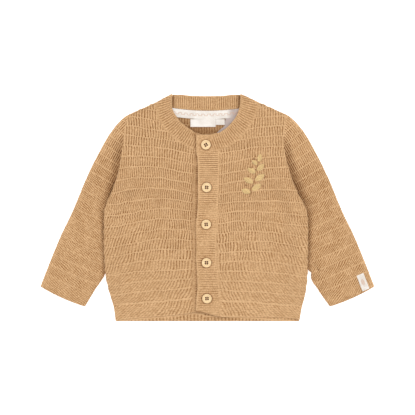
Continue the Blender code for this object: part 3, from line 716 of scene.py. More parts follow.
def make_front(side, knit, material):
    face, flat_x, flat_y = front_grid(side)
    x, y = face[..., 0], face[..., 1]
    seed = FRONT_SEED[side]
    ribs, ridges, courses, lean = body_pattern(side, flat_x, flat_y, seed)
    depth = body_depth(flat_x, flat_y, ridges, seed) * (1 if side == "right" else 0.9)
    depth *= 0.25 + 0.75 * ease(0, 2.5, flat_x - flat_x[:, :1])
    relief = body_relief(knit, leaning(ribs, ridges, lean), ridges, depth)
    edge = flat_x[:, -1:] - flat_x
    loops = np.sin(2 * math.pi * flat_y / 2.7) * fade(0, 1.3, edge)
    relief = relief * (0.15 + 0.85 * ease(0.4, 3, edge)) + 0.2 * loops
    # Painted highlight: the rounded side edge and the hem edge are made lighter.
    rim = fade(0.6, 2.6, edge) * (0.8 + 0.2 * loops) + 0.9 * fade(0.3, 2.2, flat_y - flat_y[:1])
    from_band = flat_x - flat_x[:, :1]
    # Painted shadow of the buttonhole band on the right front beside it; both fronts are also darkened a little
    # all over.
    shade = np.zeros_like(x)
    if side == "right":
        shade = fade(-1, 5.0, from_band) * (0.35 + 0.22 * ease(-60, 20, y)) * (0.8 + 0.3 * uneven(x, y, 16, 5))
        shade = shade * fade(70, 75, y)
    hem = fade(0, 15, flat_y - flat_y[:1]) * ease(3, 14, edge) * ease(4, 20, from_band)
    swell = front_swell(x, y) * ease(4, 16, edge) * ease(0, 12, from_band)
    fall = front_floor(x, y) + lap(side, x) - lift(x, y) - WALL + 0.3
    shift = together(SIGN[side] * side_waves(ridges, edge, y), 0 * x, swell * (1 - hem) - fall * hem)
    face = face + shift
    marks = {
        "depth": depth,
        "rim": np.clip(rim, 0, 1),
        "shade": np.clip(0.06 + shade, 0, 1),
        "course": courses,
        "fine": 0.45 - 0.3 * depth,
        "raised": line_strength(x, y, ridges, seed),
        "lean": lean,
    }
    name = f"knit_front_{side}"
    obj = cloth_object(name, face, (ribs, ridges), relief, KNIT_WALL, marks, flip=side == "right")
    finish_cloth(obj, face, material, f"front_{side}", (122, 288))


def back_grid(side, columns=167, low_rows=140, high_rows=56):
    """The underside of half the back, from the hem to the shoulder and neck."""
    flat_neck = TAIL + ROLL * math.pi / 2 + SEAM
    share = np.linspace(0, 1, low_rows)
    climb = np.linspace(0, 1, high_rows + 1)[1:]
    hem_y = BODY_EDGE[0].y
    low = hem_y + (BACK_PLAIN_TOP - hem_y) * share
    y_out = np.append(low, BACK_PLAIN_TOP + (SHOULDER_END[1] - BACK_PLAIN_TOP) * climb)
    y_in = np.append(low, BACK_PLAIN_TOP + (BACK_NECK_Y - flat_neck - BACK_PLAIN_TOP) * climb)
    outer = together(body_edge[side](y_out), y_out)
    outer[-1] = SHOULDER_END
    plan, drop, hidden = half_rows(together(0 * y_in, y_in), outer, columns)
    across = plan[-1, :, 0]
    slope = (NECK_POINT[1] - SHOULDER_TIP[1]) / (SHOULDER_TIP[0] - NECK_POINT[0])
    shoulder = SHOULDER_END[1] + slope * (SHOULDER_END[0] - across)
    top = np.minimum(shoulder, back_neck_y(across) - flat_neck)
    plan[-high_rows:, :, 1] += (climb**2)[:, None] * (top - plan[-1, :, 1])
    turned = ease(NECK_POINT[0], NECK_POINT[0] + 16, across)
    plan, drop, hidden, extra = over_shoulder(plan, drop, hidden, turned)
    x, y = SIGN[side] * plan[..., 0], plan[..., 1]
    return together(x, y, lift(x, y) + drop), SIGN[side] * (plan[..., 0] + hidden), y + extra


def make_back(knit, material):
    halves = []
    for side in ("right", "left"):
        face, flat_x, flat_y = back_grid(side)
        edge = np.abs(flat_x[:, -1:]) - np.abs(flat_x)
        ribs, ridges, courses, lean = body_pattern(side, np.abs(flat_x), flat_y, BACK_SEED)
        face[..., 0] += SIGN[side] * side_waves(ridges, edge, flat_y)
        hem = fade(-136, -126, flat_y)
        ribs = ribs + hem * (np.abs(flat_x) / HEM_PITCH - ribs)
        depth = body_depth(np.abs(flat_x), flat_y, ridges, BACK_SEED)
        halves.append((face, flat_x, ribs * SIGN[side], ridges, courses, depth, lean * SIGN[side] * (1 - hem)))
    halves[0] = tuple(layer[:, :0:-1] for layer in halves[0])
    face, flat_x, ribs, ridges, courses, depth, lean = (np.concatenate(pair, axis=1) for pair in zip(*halves))
    x, y = face[..., 0], face[..., 1]
    middle = 1 - ease(2, 9, np.abs(flat_x))
    ridges = ridges + middle * (ridges[:, ridges.shape[1] // 2][:, None] - ridges)
    ribs = ribs + middle * (flat_x / body_pitch(y) - ribs)
    lean = lean * (1 - middle)
    relief = np.minimum(body_relief(knit, leaning(ribs, ridges, lean), ridges, depth) - knit.ridge_height, 0)
    hem = fade(-130, -118, y)
    # Painted shade inside the neck opening, under the fronts' neckline, and painted shadow on the hem strip
    # just below the fronts' hem, which is also lightened a little.
    inside = ease(86, 92, y) * fade(62, 68, np.abs(x)) * (1 - 0.45 * ease(96, 116, y + 0.25 * np.abs(x + 30)))
    inside = inside * (0.95 + 0.14 * uneven(x, 1.7 * y, 7, 47))
    marks = {
        "depth": depth * (1 - 0.2 * inside) + 0.12 * hem,
        "rim": 0.1 * hem,
        "shade": 0.85 * inside + 0.14 * hem * (1 - 0.6 * ease(30, 60, np.abs(x))),
        "course": courses,
        "fine": 0.5 - 0.3 * depth + 0.4 * inside,
        "raised": line_strength(x, y, ridges, BACK_SEED),
        "lean": lean,
    }
    obj = cloth_object("knit_back", face, (ribs, ridges), relief, KNIT_WALL, marks, flip=True)
    finish_cloth(obj, face, material, "back", (272, 288))


# Sleeves


def first_true(test, low, high, rounds=32):
    """Where between low and high a test that fails at low starts to pass, by halving."""
    for _ in range(rounds):
        middle = (low + high) / 2
        passes = test(middle)
        low, high = np.where(passes, low, middle), np.where(passes, middle, high)
    return high


def sleeve_form(side):
    """Three functions: the place that lies a reach in from the outer fold, at a share along of the fold's
    length, the sleeve's width there, and whether a place is outside the armhole."""
    points = [(station.x, station.y) for station in OUTER_FOLD]
    fold = along_points(points)
    share = path_lengths(points) / path_lengths(points)[-1]
    turn = smooth(share, [math.radians(station.turn) for station in OUTER_FOLD])
    under = edge_curve(UNDERARM_FOLD, side)
    start = UNDERARM_FOLD[-1].y
    steps = np.array(HEAD_STEPS)[::-1] + (float(under(start)), start)
    y = np.linspace(HEAD_LOW_Y, SHOULDER_TIP[1], 30)
    head = smooth(np.append(steps[:, 1], y), np.append(steps[:, 0], body_edge[side](y) + SLEEVE_SEAM))

    def place(reach, along):
        across = together(np.cos(turn(along)), np.sin(turn(along)))
        return fold(along) - np.asarray(reach)[..., None] * across

    def above(along):
        x, y = (fold(along) - steps[0]).T
        return x * np.sin(turn(along)) > y * np.cos(turn(along))

    first = first_true(above, 0.0, 1.0)

    def width(along):
        along = np.maximum(along, first)

        def past_under(reach):
            point = place(reach, along)
            return point[..., 0] < under(point[..., 1])

        return first_true(past_under, 0 * along, 130 + 0 * along)

    def outside(point):
        return (point[..., 0] > head(point[..., 1])) | (point[..., 1] < start)

    return place, width, outside


def sleeve_grid(side, rows=206, top=128, under=72, bends=9):
    """The outside of a sleeve, from armhole to cuff and round the tube from its outer fold."""
    place, width, outside = sleeve_form(side)
    turns = np.linspace(0, math.pi, bends + 2)[1:-1]
    flat, below = np.linspace(0, 1, top), np.linspace(1, 0, under)
    share = np.concatenate([flat, np.ones(bends), below, np.zeros(bends)])
    angle = np.concatenate([0 * flat, turns, math.pi + 0 * below, turns[::-1]])
    pull = np.concatenate([FOLD * (1 - 2 * flat), 0 * turns - FOLD, FOLD * (1 - 2 * below), 0 * turns + FOLD])
    side_turn = np.concatenate([0 * flat, np.sin(turns) * FOLD, 0 * below, -np.sin(turns[::-1]) * FOLD])
    more = pull + side_turn

    def past_armhole(along):
        return outside(place(share * width(along) + more, along))

    start = first_true(past_armhole, 0 * share, 0.8 + 0 * share)
    along = start + (1 - start) * np.linspace(0, 1, rows)[:, None]
    wide = width(along.ravel()).reshape(along.shape)
    reach = share * wide + more
    bow = CUFF_BOW * 4 * reach * (wide - reach) / wide**2 * ease(0.8, 1.0, along)
    plan = place(reach, along) + bow[..., None] * outward(*CUFF) * (1, -1)
    z = FOLD * (1 + np.cos(angle)) + 0 * reach
    face = together(SIGN[side] * plan[..., 0], plan[..., 1], z)
    return tuple(np.concatenate([grid, grid[:, :1]], axis=1) for grid in (face, reach, along))


SLEEVE_RIDGES = {"right": (91.0, 13.2), "left": (85.0, 13.45)}  # where one is, down the fold, and their step
COURSE_FALL = {"right": 0.32, "left": 0.7}  # of the courses, from the outer fold inwards
COURSE_PITCH = {"right": 2.5, "left": 2.9}
CUFF_EDGE = 17.0  # above the cuff, where the raised lines end


def sleeve_shade(side, x, y, down):
    """How little light reaches a sleeve beside the body, which stands over it."""
    beyond = np.abs(x) - body_edge[side](y)
    wide = 8.0 if side == "right" else 9.5
    wide = wide * ease(15, 45, down) * (1 - 0.6 * ease(120, 150, down)) + 1.0
    last = 0.75 if side == "right" else 0.4
    deep = 0.25 + 0.36 * ease(25, 50, down) * (1 - last * ease(88, 125, down))
    return deep * fade(0.2 * wide, 1.5 * wide, beyond) * fade(85, 100, y)


def make_sleeve(side, knit, material):
    face, reach, along = sleeve_grid(side)
    x, y = face[..., 0], face[..., 1]
    fold_length = path_lengths([(station.x, station.y) for station in OUTER_FOLD])[-1]
    down = along * fold_length
    top = face[..., 2] > FOLD
    seed = SLEEVE_SEED[side]
    start, step = SLEEVE_RIDGES[side]
    ridges = (down - start - 0.05 * reach * fade(90, 140, down)) / step + 20
    last = (fold_length - CUFF_EDGE - start) / step + 20
    ridges = np.minimum(ridges, np.floor(last) + 0.5)
    lean = -0.5 * ease(70, 130, down)
    ribs = reach / SLEEVE_RIB + 0.2 * uneven(x, y, 24, seed) * ease(60, 110, down)
    worn = 1 - 0.7 * ease(55, 115, down)
    patch = 0.5 + 0.4 * uneven(x, y, 26, seed + 1) + 0.25 * uneven(x, y, 9, seed + 2)
    # Painted shade: beside the body, which stands over the sleeve, the slots are deepened so that their painted
    # shade is darker.
    beside = fade(1, 16, np.abs(x) - body_edge[side](y)) * fade(75, 100, y) * ease(20, 40, down)
    worn = worn + 0.8 * beside * fade(100, 130, down)
    at_cuff = ease(fold_length - 22, fold_length - 12, down)
    depth = np.clip(worn * (0.55 + 0.5 * patch), 0.05, 1.35) * (1 - 0.7 * at_cuff)
    courses = (down - COURSE_FALL[side] * reach) / COURSE_PITCH[side] + 0.25 * uneven(x, y, 21, seed + 6)
    fine = 0.2 + 0.8 * ease(50, 95, down) * (0.95 + 0.2 * uneven(x, y, 19, seed + 3))
    fine = fine * (1 - 0.1 * ease(130, 170, down)) * (1.0 if side == "right" else 1.12)
    line = ridge_line(ridges)
    slots = rib_slots(leaning(ribs, ridges, lean))
    relief = 0.6 * knit.ridge_height * line - knit.rib_depth * slots * depth * (1 - line)
    relief = relief - 0.2 * fine * rib_slots(courses) * (1 - line)
    relief = np.where(top, relief, np.minimum(relief - knit.ridge_height, 0))
    marks = {
        "depth": depth,
        # Painted highlight along the rounded outer fold.
        "rim": 0.5 * fade(1, 9, np.abs(reach)),
        "shade": np.where(top, sleeve_shade(side, x, y, down), 0),
        "course": courses,
        "fine": fine,
        "raised": 0.6 - (0.25 if side == "right" else 0.1) * ease(80, 130, down),
        "lean": lean,
    }
    name = f"knit_sleeve_{side}"
    obj = cloth_object(
        name, face, (ribs, ridges), relief, KNIT_WALL, marks, flip=side == "right", closed=True
    )
    finish_cloth(obj, face, material, f"sleeve_{side}", (path_lengths(face[-1])[-1] * 1.25, 260))


# Neckband and front bands


def refine(points, rows, columns):
    """A grid of places drawn smoothly through a coarser one, evenly along its middle column."""
    for axis, count in ((0, rows), (1, columns)):
        lined = np.moveaxis(points, axis, 0)
        middle = lined[:, lined.shape[1] // 2]
        length = path_lengths(middle)
        at = np.linspace(0, length[-1], count)
        flat = lined.reshape(len(lined), -1)
        fine = np.stack([smooth(length, flat[:, i])(at) for i in range(flat.shape[1])], axis=1)
        points = np.moveaxis(fine.reshape(count, *lined.shape[1:]), 0, axis)
    return points


def neckband_half(side, end_rows=6, front_rows=15, back_rows=10, columns=5):
    """Half of the neckband's outside, from its end on the front band, round the turn at the shoulder, to the
    middle of the back."""
    across = np.linspace(0, 1, columns)
    point, peak = np.array(NECK_POINT), np.array(NECK_PEAK[side])
    over = outward(point, peak)
    on_turn = point + across[:, None] * (peak - point)
    on_turn[0] += SEAM * (peak - point) / np.linalg.norm(peak - point)
    base = on_turn - FOLD * over
    along = np.arange(front_rows) / (front_rows - 1)
    end = np.linspace(NECK_END[side], NECK_START, end_rows + 1)[:-1]
    seam = np.vstack([np.column_stack([end, neck_end_seam(end)]), neck_seam[side](along)])
    free = np.vstack([np.column_stack([end, neck_end_free(side, end)]), neck_free[side](along)])
    seam = seam + SEAM * (free - seam) / np.linalg.norm(free - seam, axis=1)[:, None]
    front = seam[:, None, :] + across[None, :, None] * (free - seam)[:, None, :]
    front[-1] = base
    x, y = SIGN[side] * front[..., 0], front[..., 1]
    rows = [together(x, y, front_floor(x, y) + WALL + lap(side, x))]
    for angle in np.radians([30, 60, 90, 120, 150]):
        turn = base + FOLD * math.sin(angle) * over
        z = np.full(columns, FOLD * (1 + math.cos(angle)))
        rows.append(together(SIGN[side] * turn[:, 0], turn[:, 1], z)[None])
    inwards = np.linspace(1, 0, back_rows)[:, None]
    middle = BACK_NECK_Y + across * (BACK_BAND_Y - BACK_NECK_Y)
    x = inwards * base[:, 0]
    sag = (back_neck_y(x) - BACK_NECK_Y) - inwards * (back_neck_y(base[:, 0]) - BACK_NECK_Y)
    y = middle + inwards * (base[:, 1] - middle) + sag * (1 - across) + 1.5 * across * ease(0.35, 0.85, inwards)
    rows.append(together(SIGN[side] * x, y, 0 * x))
    return np.concatenate(rows, axis=0)


def neckband_ribs(face, length, across):
    """The count of ribs from the middle of the back: straight and even over the back, and slanting round the
    fronts."""
    x, z = face[..., 0], face[..., 2]
    middle = x.shape[1] // 2
    flat = ease(-1.5 * FOLD, -0.3 * FOLD, -z)
    ribs = x / BACK_RIB * flat
    for sign in (-1, 1):
        rows = np.flatnonzero((flat[:, middle] == 1) & (x[:, middle] * sign > 0))
        last = rows[0] if sign < 0 else rows[-1]
        front = sign * np.abs(length - length[last]) / FRONT_RIB + x[last, middle] / BACK_RIB
        front = front - sign * NECK_SLANT * (across - 0.5)
        ribs = ribs + np.where(x * sign > 0, front * (1 - flat), 0)
    return ribs


def button_shade(x, y, buttons):
    """The ring of shade round each button."""
    away = [np.abs(np.hypot(x - row.x, y - row.y) - RING_RADIUS) for row in buttons]
    return sum(RING_SHADE * fade(0.4, 1.5, distance) for distance in away)


def make_neckband(knit, material):
    right, left = neckband_half("right"), neckband_half("left")
    face = refine(np.concatenate([right, left[-2::-1]], axis=0), 640, 15)
    x, y = face[..., 0], face[..., 1]
    length = path_lengths(face[:, 7])[:, None]
    across = np.linspace(0, 1, 15)[None, :] + 0 * length
    ribs = neckband_ribs(face, length, across)
    plain = np.minimum(ease(14, 24, length), ease(14, 24, length[-1] - length))
    depth = (0.12 + 0.88 * plain) * (0.85 + 0.15 * uneven(x, y, 15, 71)) * (1 - 0.1 * (face[..., 2] > FOLD))
    depth = depth * ease(0.0, 0.12, across) * ease(0, 0.12, 1 - across)
    crown = 0.35 * (1 - (2 * across - 1) ** 2)
    top = face[..., 2] > FOLD
    relief = np.where(top, crown, crown - 0.35) - knit.rib_depth * rib_slots(ribs) * depth
    ring = button_shade(x, y, BUTTONS[:1])
    # Painted shade in the corners under the turn at each shoulder, and painted shadow on the right end where
    # the left end lies over it; the top is also darkened a little all over.
    corner = np.where(x < 0, ease(41, 47, -x), ease(36, 44, x)) * ease(124, 130, y)
    beside = 0.4 * ease(-20, -14.5, x) * (length < length[-1] / 2)
    marks = {
        "depth": depth,
        "rim": np.where(top, 0.05, 0),
        "shade": np.where(top, 0.1 + ring + beside, 0.06 + 0.8 * corner),
        "course": across * 12,
        "fine": 0.2,
    }
    under = -0.35 * rib_slots(ribs) * depth
    obj = cloth_object(
        "knit_neckband", face, (ribs, 0.5), relief, KNIT_WALL, marks, under_relief=under, step=1
    )
    size = (float(length[-1, 0]) * 1.02, 23)
    finish_cloth(obj, face, material, "neckband", size)


def band_grid(left, right, low, high, raised, rows=400, columns=30):
    """The outside of a front band. Its long edges are functions of y, and its ends functions of x."""
    share = np.linspace(0, 1, columns)[None, :]

    def across(y):
        return left(y) + share * (right(y) - left(y))

    foot, top = low(across(BODY_EDGE[0].y)), high(across(NECK_END_SEAM))
    y = foot + np.linspace(0, 1, rows)[:, None] * (top - foot)
    x = across(y)
    return together(x, y, front_floor(x, y) + BAND_WALL + raised)


def ramp(start, end, x):
    """The sum of ease(start, end) up to x: 0 before start, and growing by 1 a millimetre after end."""
    t = np.clip((x - start) / (end - start), 0, 1)
    return (end - start) * (t ** 3 - t ** 4 / 2) + np.maximum(x - end, 0)


def make_band(name, face, knit, material, node, holes):
    x, y = face[..., 0], face[..., 1]
    ribs = y / LOW_BAND_RIB + (1 / BAND_RIB - 1 / LOW_BAND_RIB) * ramp(-20, 10, y) + 0.04 * uneven(x, y, 25, 83)
    share = np.linspace(0, 1, face.shape[1])[None, :] + 0 * x
    depth = np.clip(0.55 + 0.65 * ease(20, 45, y) + 0.22 * uneven(x * 0.5, y, 19, 81), 0.25, 1.4)
    depth = depth * ease(0.02, 0.1, share) * ease(0.02, 0.07, 1 - share) * (1 - 0.5 * ease(-124, -136, y))
    relief = 0.25 * (1 - (2 * share - 1) ** 6) - knit.rib_depth * rib_slots(ribs) * depth
    # Painted shade in each buttonhole, which is also sunk into the band, and a ring of painted shadow round
    # each button.
    slit = 0 * x
    for row in holes:
        reach = 1 - ((x - row.x) / (BUTTONHOLE[0] / 2)) ** 2 - ((y - row.y) / (BUTTONHOLE[1] / 2)) ** 2
        slit = np.maximum(slit, ease(0, 0.5, reach))
    ring = button_shade(x, y, BUTTONS)
    # Painted shadow on the strip of the button band beside the edge of the buttonhole band that lies over it.
    under = 0 * x
    if node == "button_band":
        under = ease(-20.5, -14.0, x) * (0.42 + 0.25 * ease(-60, 10, y)) * (0.85 + 0.2 * uneven(x, y, 16, 5))
    marks = {
        "depth": depth,
        "rim": 0.05 + 0.7 * ease(15, 35, y) + 0.1 * ease(0.92, 0.97, share),
        "shade": np.clip(0.05 * fade(-80, -10, y) + np.maximum(slit, under) + ring, 0, 1),
        "course": x / 1.5,
        "fine": 0.25,
    }
    obj = cloth_object(name, face, (ribs, 0.5), relief - 1.2 * slit, SHOWN_BAND_WALL, marks)
    finish_cloth(obj, face, material, node, (32, 216))


def make_bands(knit, material):
    free, seam = LOWER_BAND
    lower = band_grid(
        lower_band_seam,
        lambda y: free + 0 * y,
        lambda x: LOWER_BAND_FOOT[0] + (LOWER_BAND_FOOT[1] - LOWER_BAND_FOOT[0]) * ease(seam, free, x),
        lambda x: neck_end_seam(-x),
        0.0,
    )
    make_band("knit_button_band", lower, knit, material, "button_band", ())
    foot = UPPER_BAND[0]
    upper = band_grid(
        upper_band_free,
        upper_band_seam,
        lambda x: UPPER_BAND_FOOT[0]
        + (UPPER_BAND_FOOT[1] - UPPER_BAND_FOOT[0]) * ease(foot.free, foot.seam, x),
        neck_end_seam,
        LAP,
    )
    make_band("knit_buttonhole_band", upper, knit, material, "buttonhole_band", BUTTONS[1:])


# Buttons and thread


def clear_selection():
    if bpy.context.object and bpy.context.object.mode != "OBJECT":
        bpy.ops.object.mode_set(mode="OBJECT")
    bpy.ops.object.select_all(action="DESELECT")


def select_only(obj):
    clear_selection()
    obj.select_set(True)
    bpy.context.view_layer.objects.active = obj


def apply_transforms():
    bpy.ops.object.transform_apply(location=True, rotation=True, scale=True)


def select_faces(obj, way):
    """Selects the faces that look up, where way is 1, or down, where it is -1."""
    bpy.ops.mesh.select_all(action="DESELECT")
    bm = bmesh.from_edit_mesh(obj.data)
    for face in bm.faces:
        face.select = face.normal.z * way > 0.9
    bmesh.update_edit_mesh(obj.data)


def make_button(buttons, material):
    """One turned button standing on Z 0 at the middle of the scene, with a raised rim, a dished middle and
    four holes."""
    clear_selection()
    radius = buttons.radius / MM
    bpy.ops.mesh.primitive_cylinder_add(
        vertices=72, radius=radius * MM, depth=BUTTON_THICK * MM, location=(0, 0, BUTTON_THICK / 2 * MM)
    )
    disc = bpy.context.object
    disc.name = "turned_button"
    apply_transforms()
    bpy.ops.object.mode_set(mode="EDIT")
    bpy.ops.mesh.select_mode(type="FACE")
    select_faces(disc, 1)
    bpy.ops.mesh.inset(thickness=1.35 * MM)
    bpy.ops.mesh.inset(thickness=0.55 * MM, depth=-0.75 * MM)
    bpy.ops.mesh.inset(thickness=1.2 * MM, depth=-0.12 * MM)
    select_faces(disc, -1)
    bpy.ops.transform.resize(value=(0.86, 0.86, 1))
    bpy.ops.object.mode_set(mode="OBJECT")
    bevel = disc.modifiers.new("worn edges", "BEVEL")
    bevel.width, bevel.segments, bevel.limit_method = 0.32 * MM, 3, "ANGLE"
    bevel.angle_limit = math.radians(25)
    bpy.ops.object.modifier_apply(modifier=bevel.name)
    for quarter in range(4):
        clear_selection()
        angle = math.radians(45 + 90 * quarter)
        bpy.ops.mesh.primitive_cylinder_add(
            vertices=20,
            radius=HOLE_RADIUS * MM,
            depth=8 * MM,
            location=(HOLE_REACH * MM * math.cos(angle), HOLE_REACH * MM * math.sin(angle), 1 * MM),
        )
        drill = bpy.context.object
        select_only(disc)
        hole = disc.modifiers.new("hole", "BOOLEAN")
        hole.operation, hole.object = "DIFFERENCE", drill
        bpy.ops.object.modifier_apply(modifier=hole.name)
        bpy.data.objects.remove(drill)
    bpy.ops.object.shade_smooth_by_angle(angle=math.radians(35))
    # Painted shade down the button's sides and in the dish round the holes.
    dish_and_side_shade = disc.data.attributes.new("dish_and_side_shade", "FLOAT", "POINT")
    for vertex, value in zip(disc.data.vertices, dish_and_side_shade.data):
        away = math.hypot(vertex.co.x, vertex.co.y) / MM
        value.value = 0.75 * float(ease(radius - 0.55, radius, away)) + 0.5 * float(fade(1.6, 3.4, away))
    disc.data.materials.append(material)
    return disc


def make_buttons(buttons, material):
    pattern = make_button(buttons, material)
    for number, row in enumerate(BUTTONS, 1):
        low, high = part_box(f"button_{number}")
        obj = add_object(f"wood_button_{number}", pattern.data.copy())
        select_only(obj)
        obj.location = ((low.x + high.x) / 2, (low.y + high.y) / 2, low.z + 0.1 * MM)
        obj.rotation_euler.z = math.radians(row.turn)
        apply_transforms()
        set_in_model(obj, f"button_{number}")
    bpy.data.objects.remove(pattern)


def make_threads(material):
    """The thread of each button: a wound shank below it, and the strands that come up in its holes; the thread
    deep in the holes is painted dark as shade.
    """
    for number, row in enumerate(BUTTONS, 1):
        low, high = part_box(f"button_thread_{number}")
        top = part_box(f"button_{number}")[0].z + 1.55 * MM
        clear_selection()
        middle = ((low.x + high.x) / 2, (low.y + high.y) / 2)
        height = top - 1.6 * MM - low.z
        bpy.ops.mesh.primitive_cylinder_add(
            vertices=24, radius=1.25 * MM, depth=height, location=(*middle, low.z + height / 2)
        )
        parts = [bpy.context.object]
        for quarter in range(4):
            angle = math.radians(45 + 90 * quarter + row.turn)
            x, y = (middle[i] + HOLE_REACH * MM * (math.cos(angle), math.sin(angle))[i] for i in (0, 1))
            bpy.ops.mesh.primitive_uv_sphere_add(
                segments=16, ring_count=8, radius=1.0 * MM, location=(x, y, top - 1.3 * MM)
            )
            parts.append(bpy.context.object)
        for across in (-1, 1):
            angle = math.radians(row.turn)
            x = middle[0] - across * 1.24 * MM * math.sin(angle)
            y = middle[1] + across * 1.24 * MM * math.cos(angle)
            place = (x, y, top + 0.1 * MM)
            bpy.ops.mesh.primitive_uv_sphere_add(segments=20, ring_count=12, radius=1, location=place)
            strand = bpy.context.object
            strand.scale = (1.35 * MM, 0.4 * MM, 0.45 * MM)
            strand.rotation_euler.z = angle
            parts.append(strand)
        clear_selection()
        for part in parts:
            part.select_set(True)
        bpy.context.view_layer.objects.active = parts[0]
        bpy.ops.object.join()
        obj = bpy.context.object
        obj.name = f"sewing_thread_{number}"
        apply_transforms()
        bpy.ops.object.shade_smooth()
        # Painted shade: the thread deep in the holes takes the dark colour of the holes' shade.
        deep = obj.data.attributes.new("deep", "FLOAT", "POINT")
        for vertex, value in zip(obj.data.vertices, deep.data):
            value.value = float(vertex.co.z < top - 0.36 * MM)
        obj.data.materials.append(material)
        set_in_model(obj, f"button_thread_{number}")


# Tape and labels


def make_woven(name, plan, base, material, node, grey=None, motif=None):
    """A strip of woven tape lying at the height base, from a grid of plan places. grey(x) says where it lies
    out of the light, and motif(across, along) where something is woven into it, in millimetres from its
    middle."""
    face = np.concatenate([plan, np.full(plan.shape[:2] + (1,), base + TAPE_WALL)], axis=-1)
    middle = face.shape[1] // 2
    size = path_lengths(face[:, middle])[-1], path_lengths(face[len(face) // 2])[-1]
    face = refine(face, max(12, int(size[0] * TAPE_GRID)), max(8, int(size[1] * TAPE_GRID)))
    rows, columns = face.shape[:2]
    along = path_lengths(face[:, columns // 2])[:, None]
    across = path_lengths(face[rows // 2])[None, :]
    relief = 0.12 * uneven(face[..., 0], face[..., 1], 12, 91)
    side = np.cross(face[1, 0] - face[0, 0], face[0, 1] - face[0, 0])[2]
    marks = {
        "grey": grey(face[..., 0]) if grey else 0,
        "motif": motif(across - across.max() / 2, along - along.max() / 2) if motif else 0,
    }
    obj = cloth_object(name, face, (across, along), relief, TAPE_WALL * 0.8, marks, flip=bool(side > 0), step=1)
    obj.data.materials.append(material)
    set_in_model(obj, node)
    return obj


def wavy_line(across, along):
    """A fine wavy line along the middle of the tape, with a dot in each of its bends."""
    wave = 1.3 * np.sin(2 * math.pi * along / 7.5)
    line = 1 - ease(0.1, 0.6, np.abs(across - wave))
    bend = (along / 7.5 * 2 + 0.5) % 1 - 0.5
    dots = 1 - ease(0.3, 0.9, np.hypot(across + 1.1 * np.sign(wave), bend * 7.5 / 2))
    return np.clip(line + dots, 0, 1)


def small_leaf(across, along):
    """One leaf with its stalk, in the middle of the cuff label."""
    width = 2.3 * np.cos(np.clip(along / 5.2, -1, 1) * math.pi / 2) ** 0.8
    leaf = fade(0, 0.6, np.abs(across) - width + 0.5) * fade(4.6, 5.2, np.abs(along))
    vein = 1 - ease(0.1, 0.5, np.abs(across))
    return np.clip(0.8 * leaf - 0.6 * vein + vein * (np.abs(along) < 7) * (np.abs(along) > 5), 0, 1)


def strip(x, y, half):
    """Plan places across a strip of tape, along a line of places."""
    return np.stack([together(x, y + dy) for dy in (-half, 0, half)], axis=1)


def make_tapes(material):
    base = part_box("neck_tape")[0].z / MM
    for name, node, left, right, middle, half in (
        ("plain_neck_label", "neck_label", -22.0, 10.6, 109.8, 4.9),
        ("plain_size_label", "size_label", 11.2, 22.3, 111.1, 3.6),
    ):
        plan = strip(np.linspace(left, right, 8), middle, half)
        make_woven(name, plan, base, material, node)
    x = np.linspace(-54, 54, 24)
    plan = strip(x, back_neck_y(x) - 6.2, 5.3)
    tape = make_woven(
        "woven_neck_tape", plan, base, material, "neck_tape", lambda x: ease(24, 34, x), wavy_line
    )
    share = np.linspace(0, 1, 12)
    shown, hidden = (
        along_points(places)(share)
        for places in (
            [(24.0, 116.0), (23.2, 112.0), (22.8, 107.2), (17.6, 102.0), (11.5, 96.0)],
            [(44.0, 118.0), (41.5, 110.0), (36.5, 102.5), (30.0, 96.5), (22.0, 91.5)],
        )
    )
    plan = np.stack([shown, (shown + hidden) / 2, hidden], axis=1)
    end = make_woven("woven_neck_tape_end", plan, base, material, "neck_tape_end", lambda x: 1)


def make_cuff_label(material):
    place, _, _ = sleeve_form("left")
    along = np.linspace(0.915, 0.999, 8)
    plan = np.stack([place(reach + 0 * along, along) for reach in (7.5, 12.2, 16.9)], axis=1)
    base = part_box("cuff_label")[0].z / MM
    label = make_woven("woven_cuff_label", plan, base, material, "cuff_label", motif=small_leaf)


# Embroidered sprig


Leaf = namedtuple("Leaf", "x y turn length width")
SPRIG_STEM = ((55.0, 14.0), (57.5, 25.0), (61.5, 37.0), (63.5, 49.0), (66.5, 60.0))
LEAVES = table(
    Leaf,
    (56.0, 18.5, 152, 12.5, 7.4), (57.2, 22.5, 26, 14.5, 7.8), (59.6, 31.5, 146, 14.0, 7.6),
    (61.6, 35.5, 24, 14.5, 7.8), (63.0, 44.5, 144, 12.5, 7.2), (63.8, 48.5, 30, 12.5, 7.0),
    (65.2, 55.0, 134, 9.5, 5.8), (66.3, 59.0, 70, 11.0, 6.2),
)
BERRIES = ((50.5, 29.0), (72.5, 27.5), (53.0, 40.5), (75.0, 40.0), (56.6, 51.5), (74.4, 53.2), (60.6, 63.4))


def on_left_front(x, y):
    return front_floor(x, y) + WALL + lap("left", x) + front_swell(x, y)


def raised_shape(places, height, rise):
    """A grid of plan places as a low raised shape of thread on the left front, with its underside."""
    x, y = places[..., 0], places[..., 1]
    top = together(x, y, on_left_front(x, y) + rise + height)
    base = together(x, y, on_left_front(x, y) + 0 * height - 0.1)
    return top, base


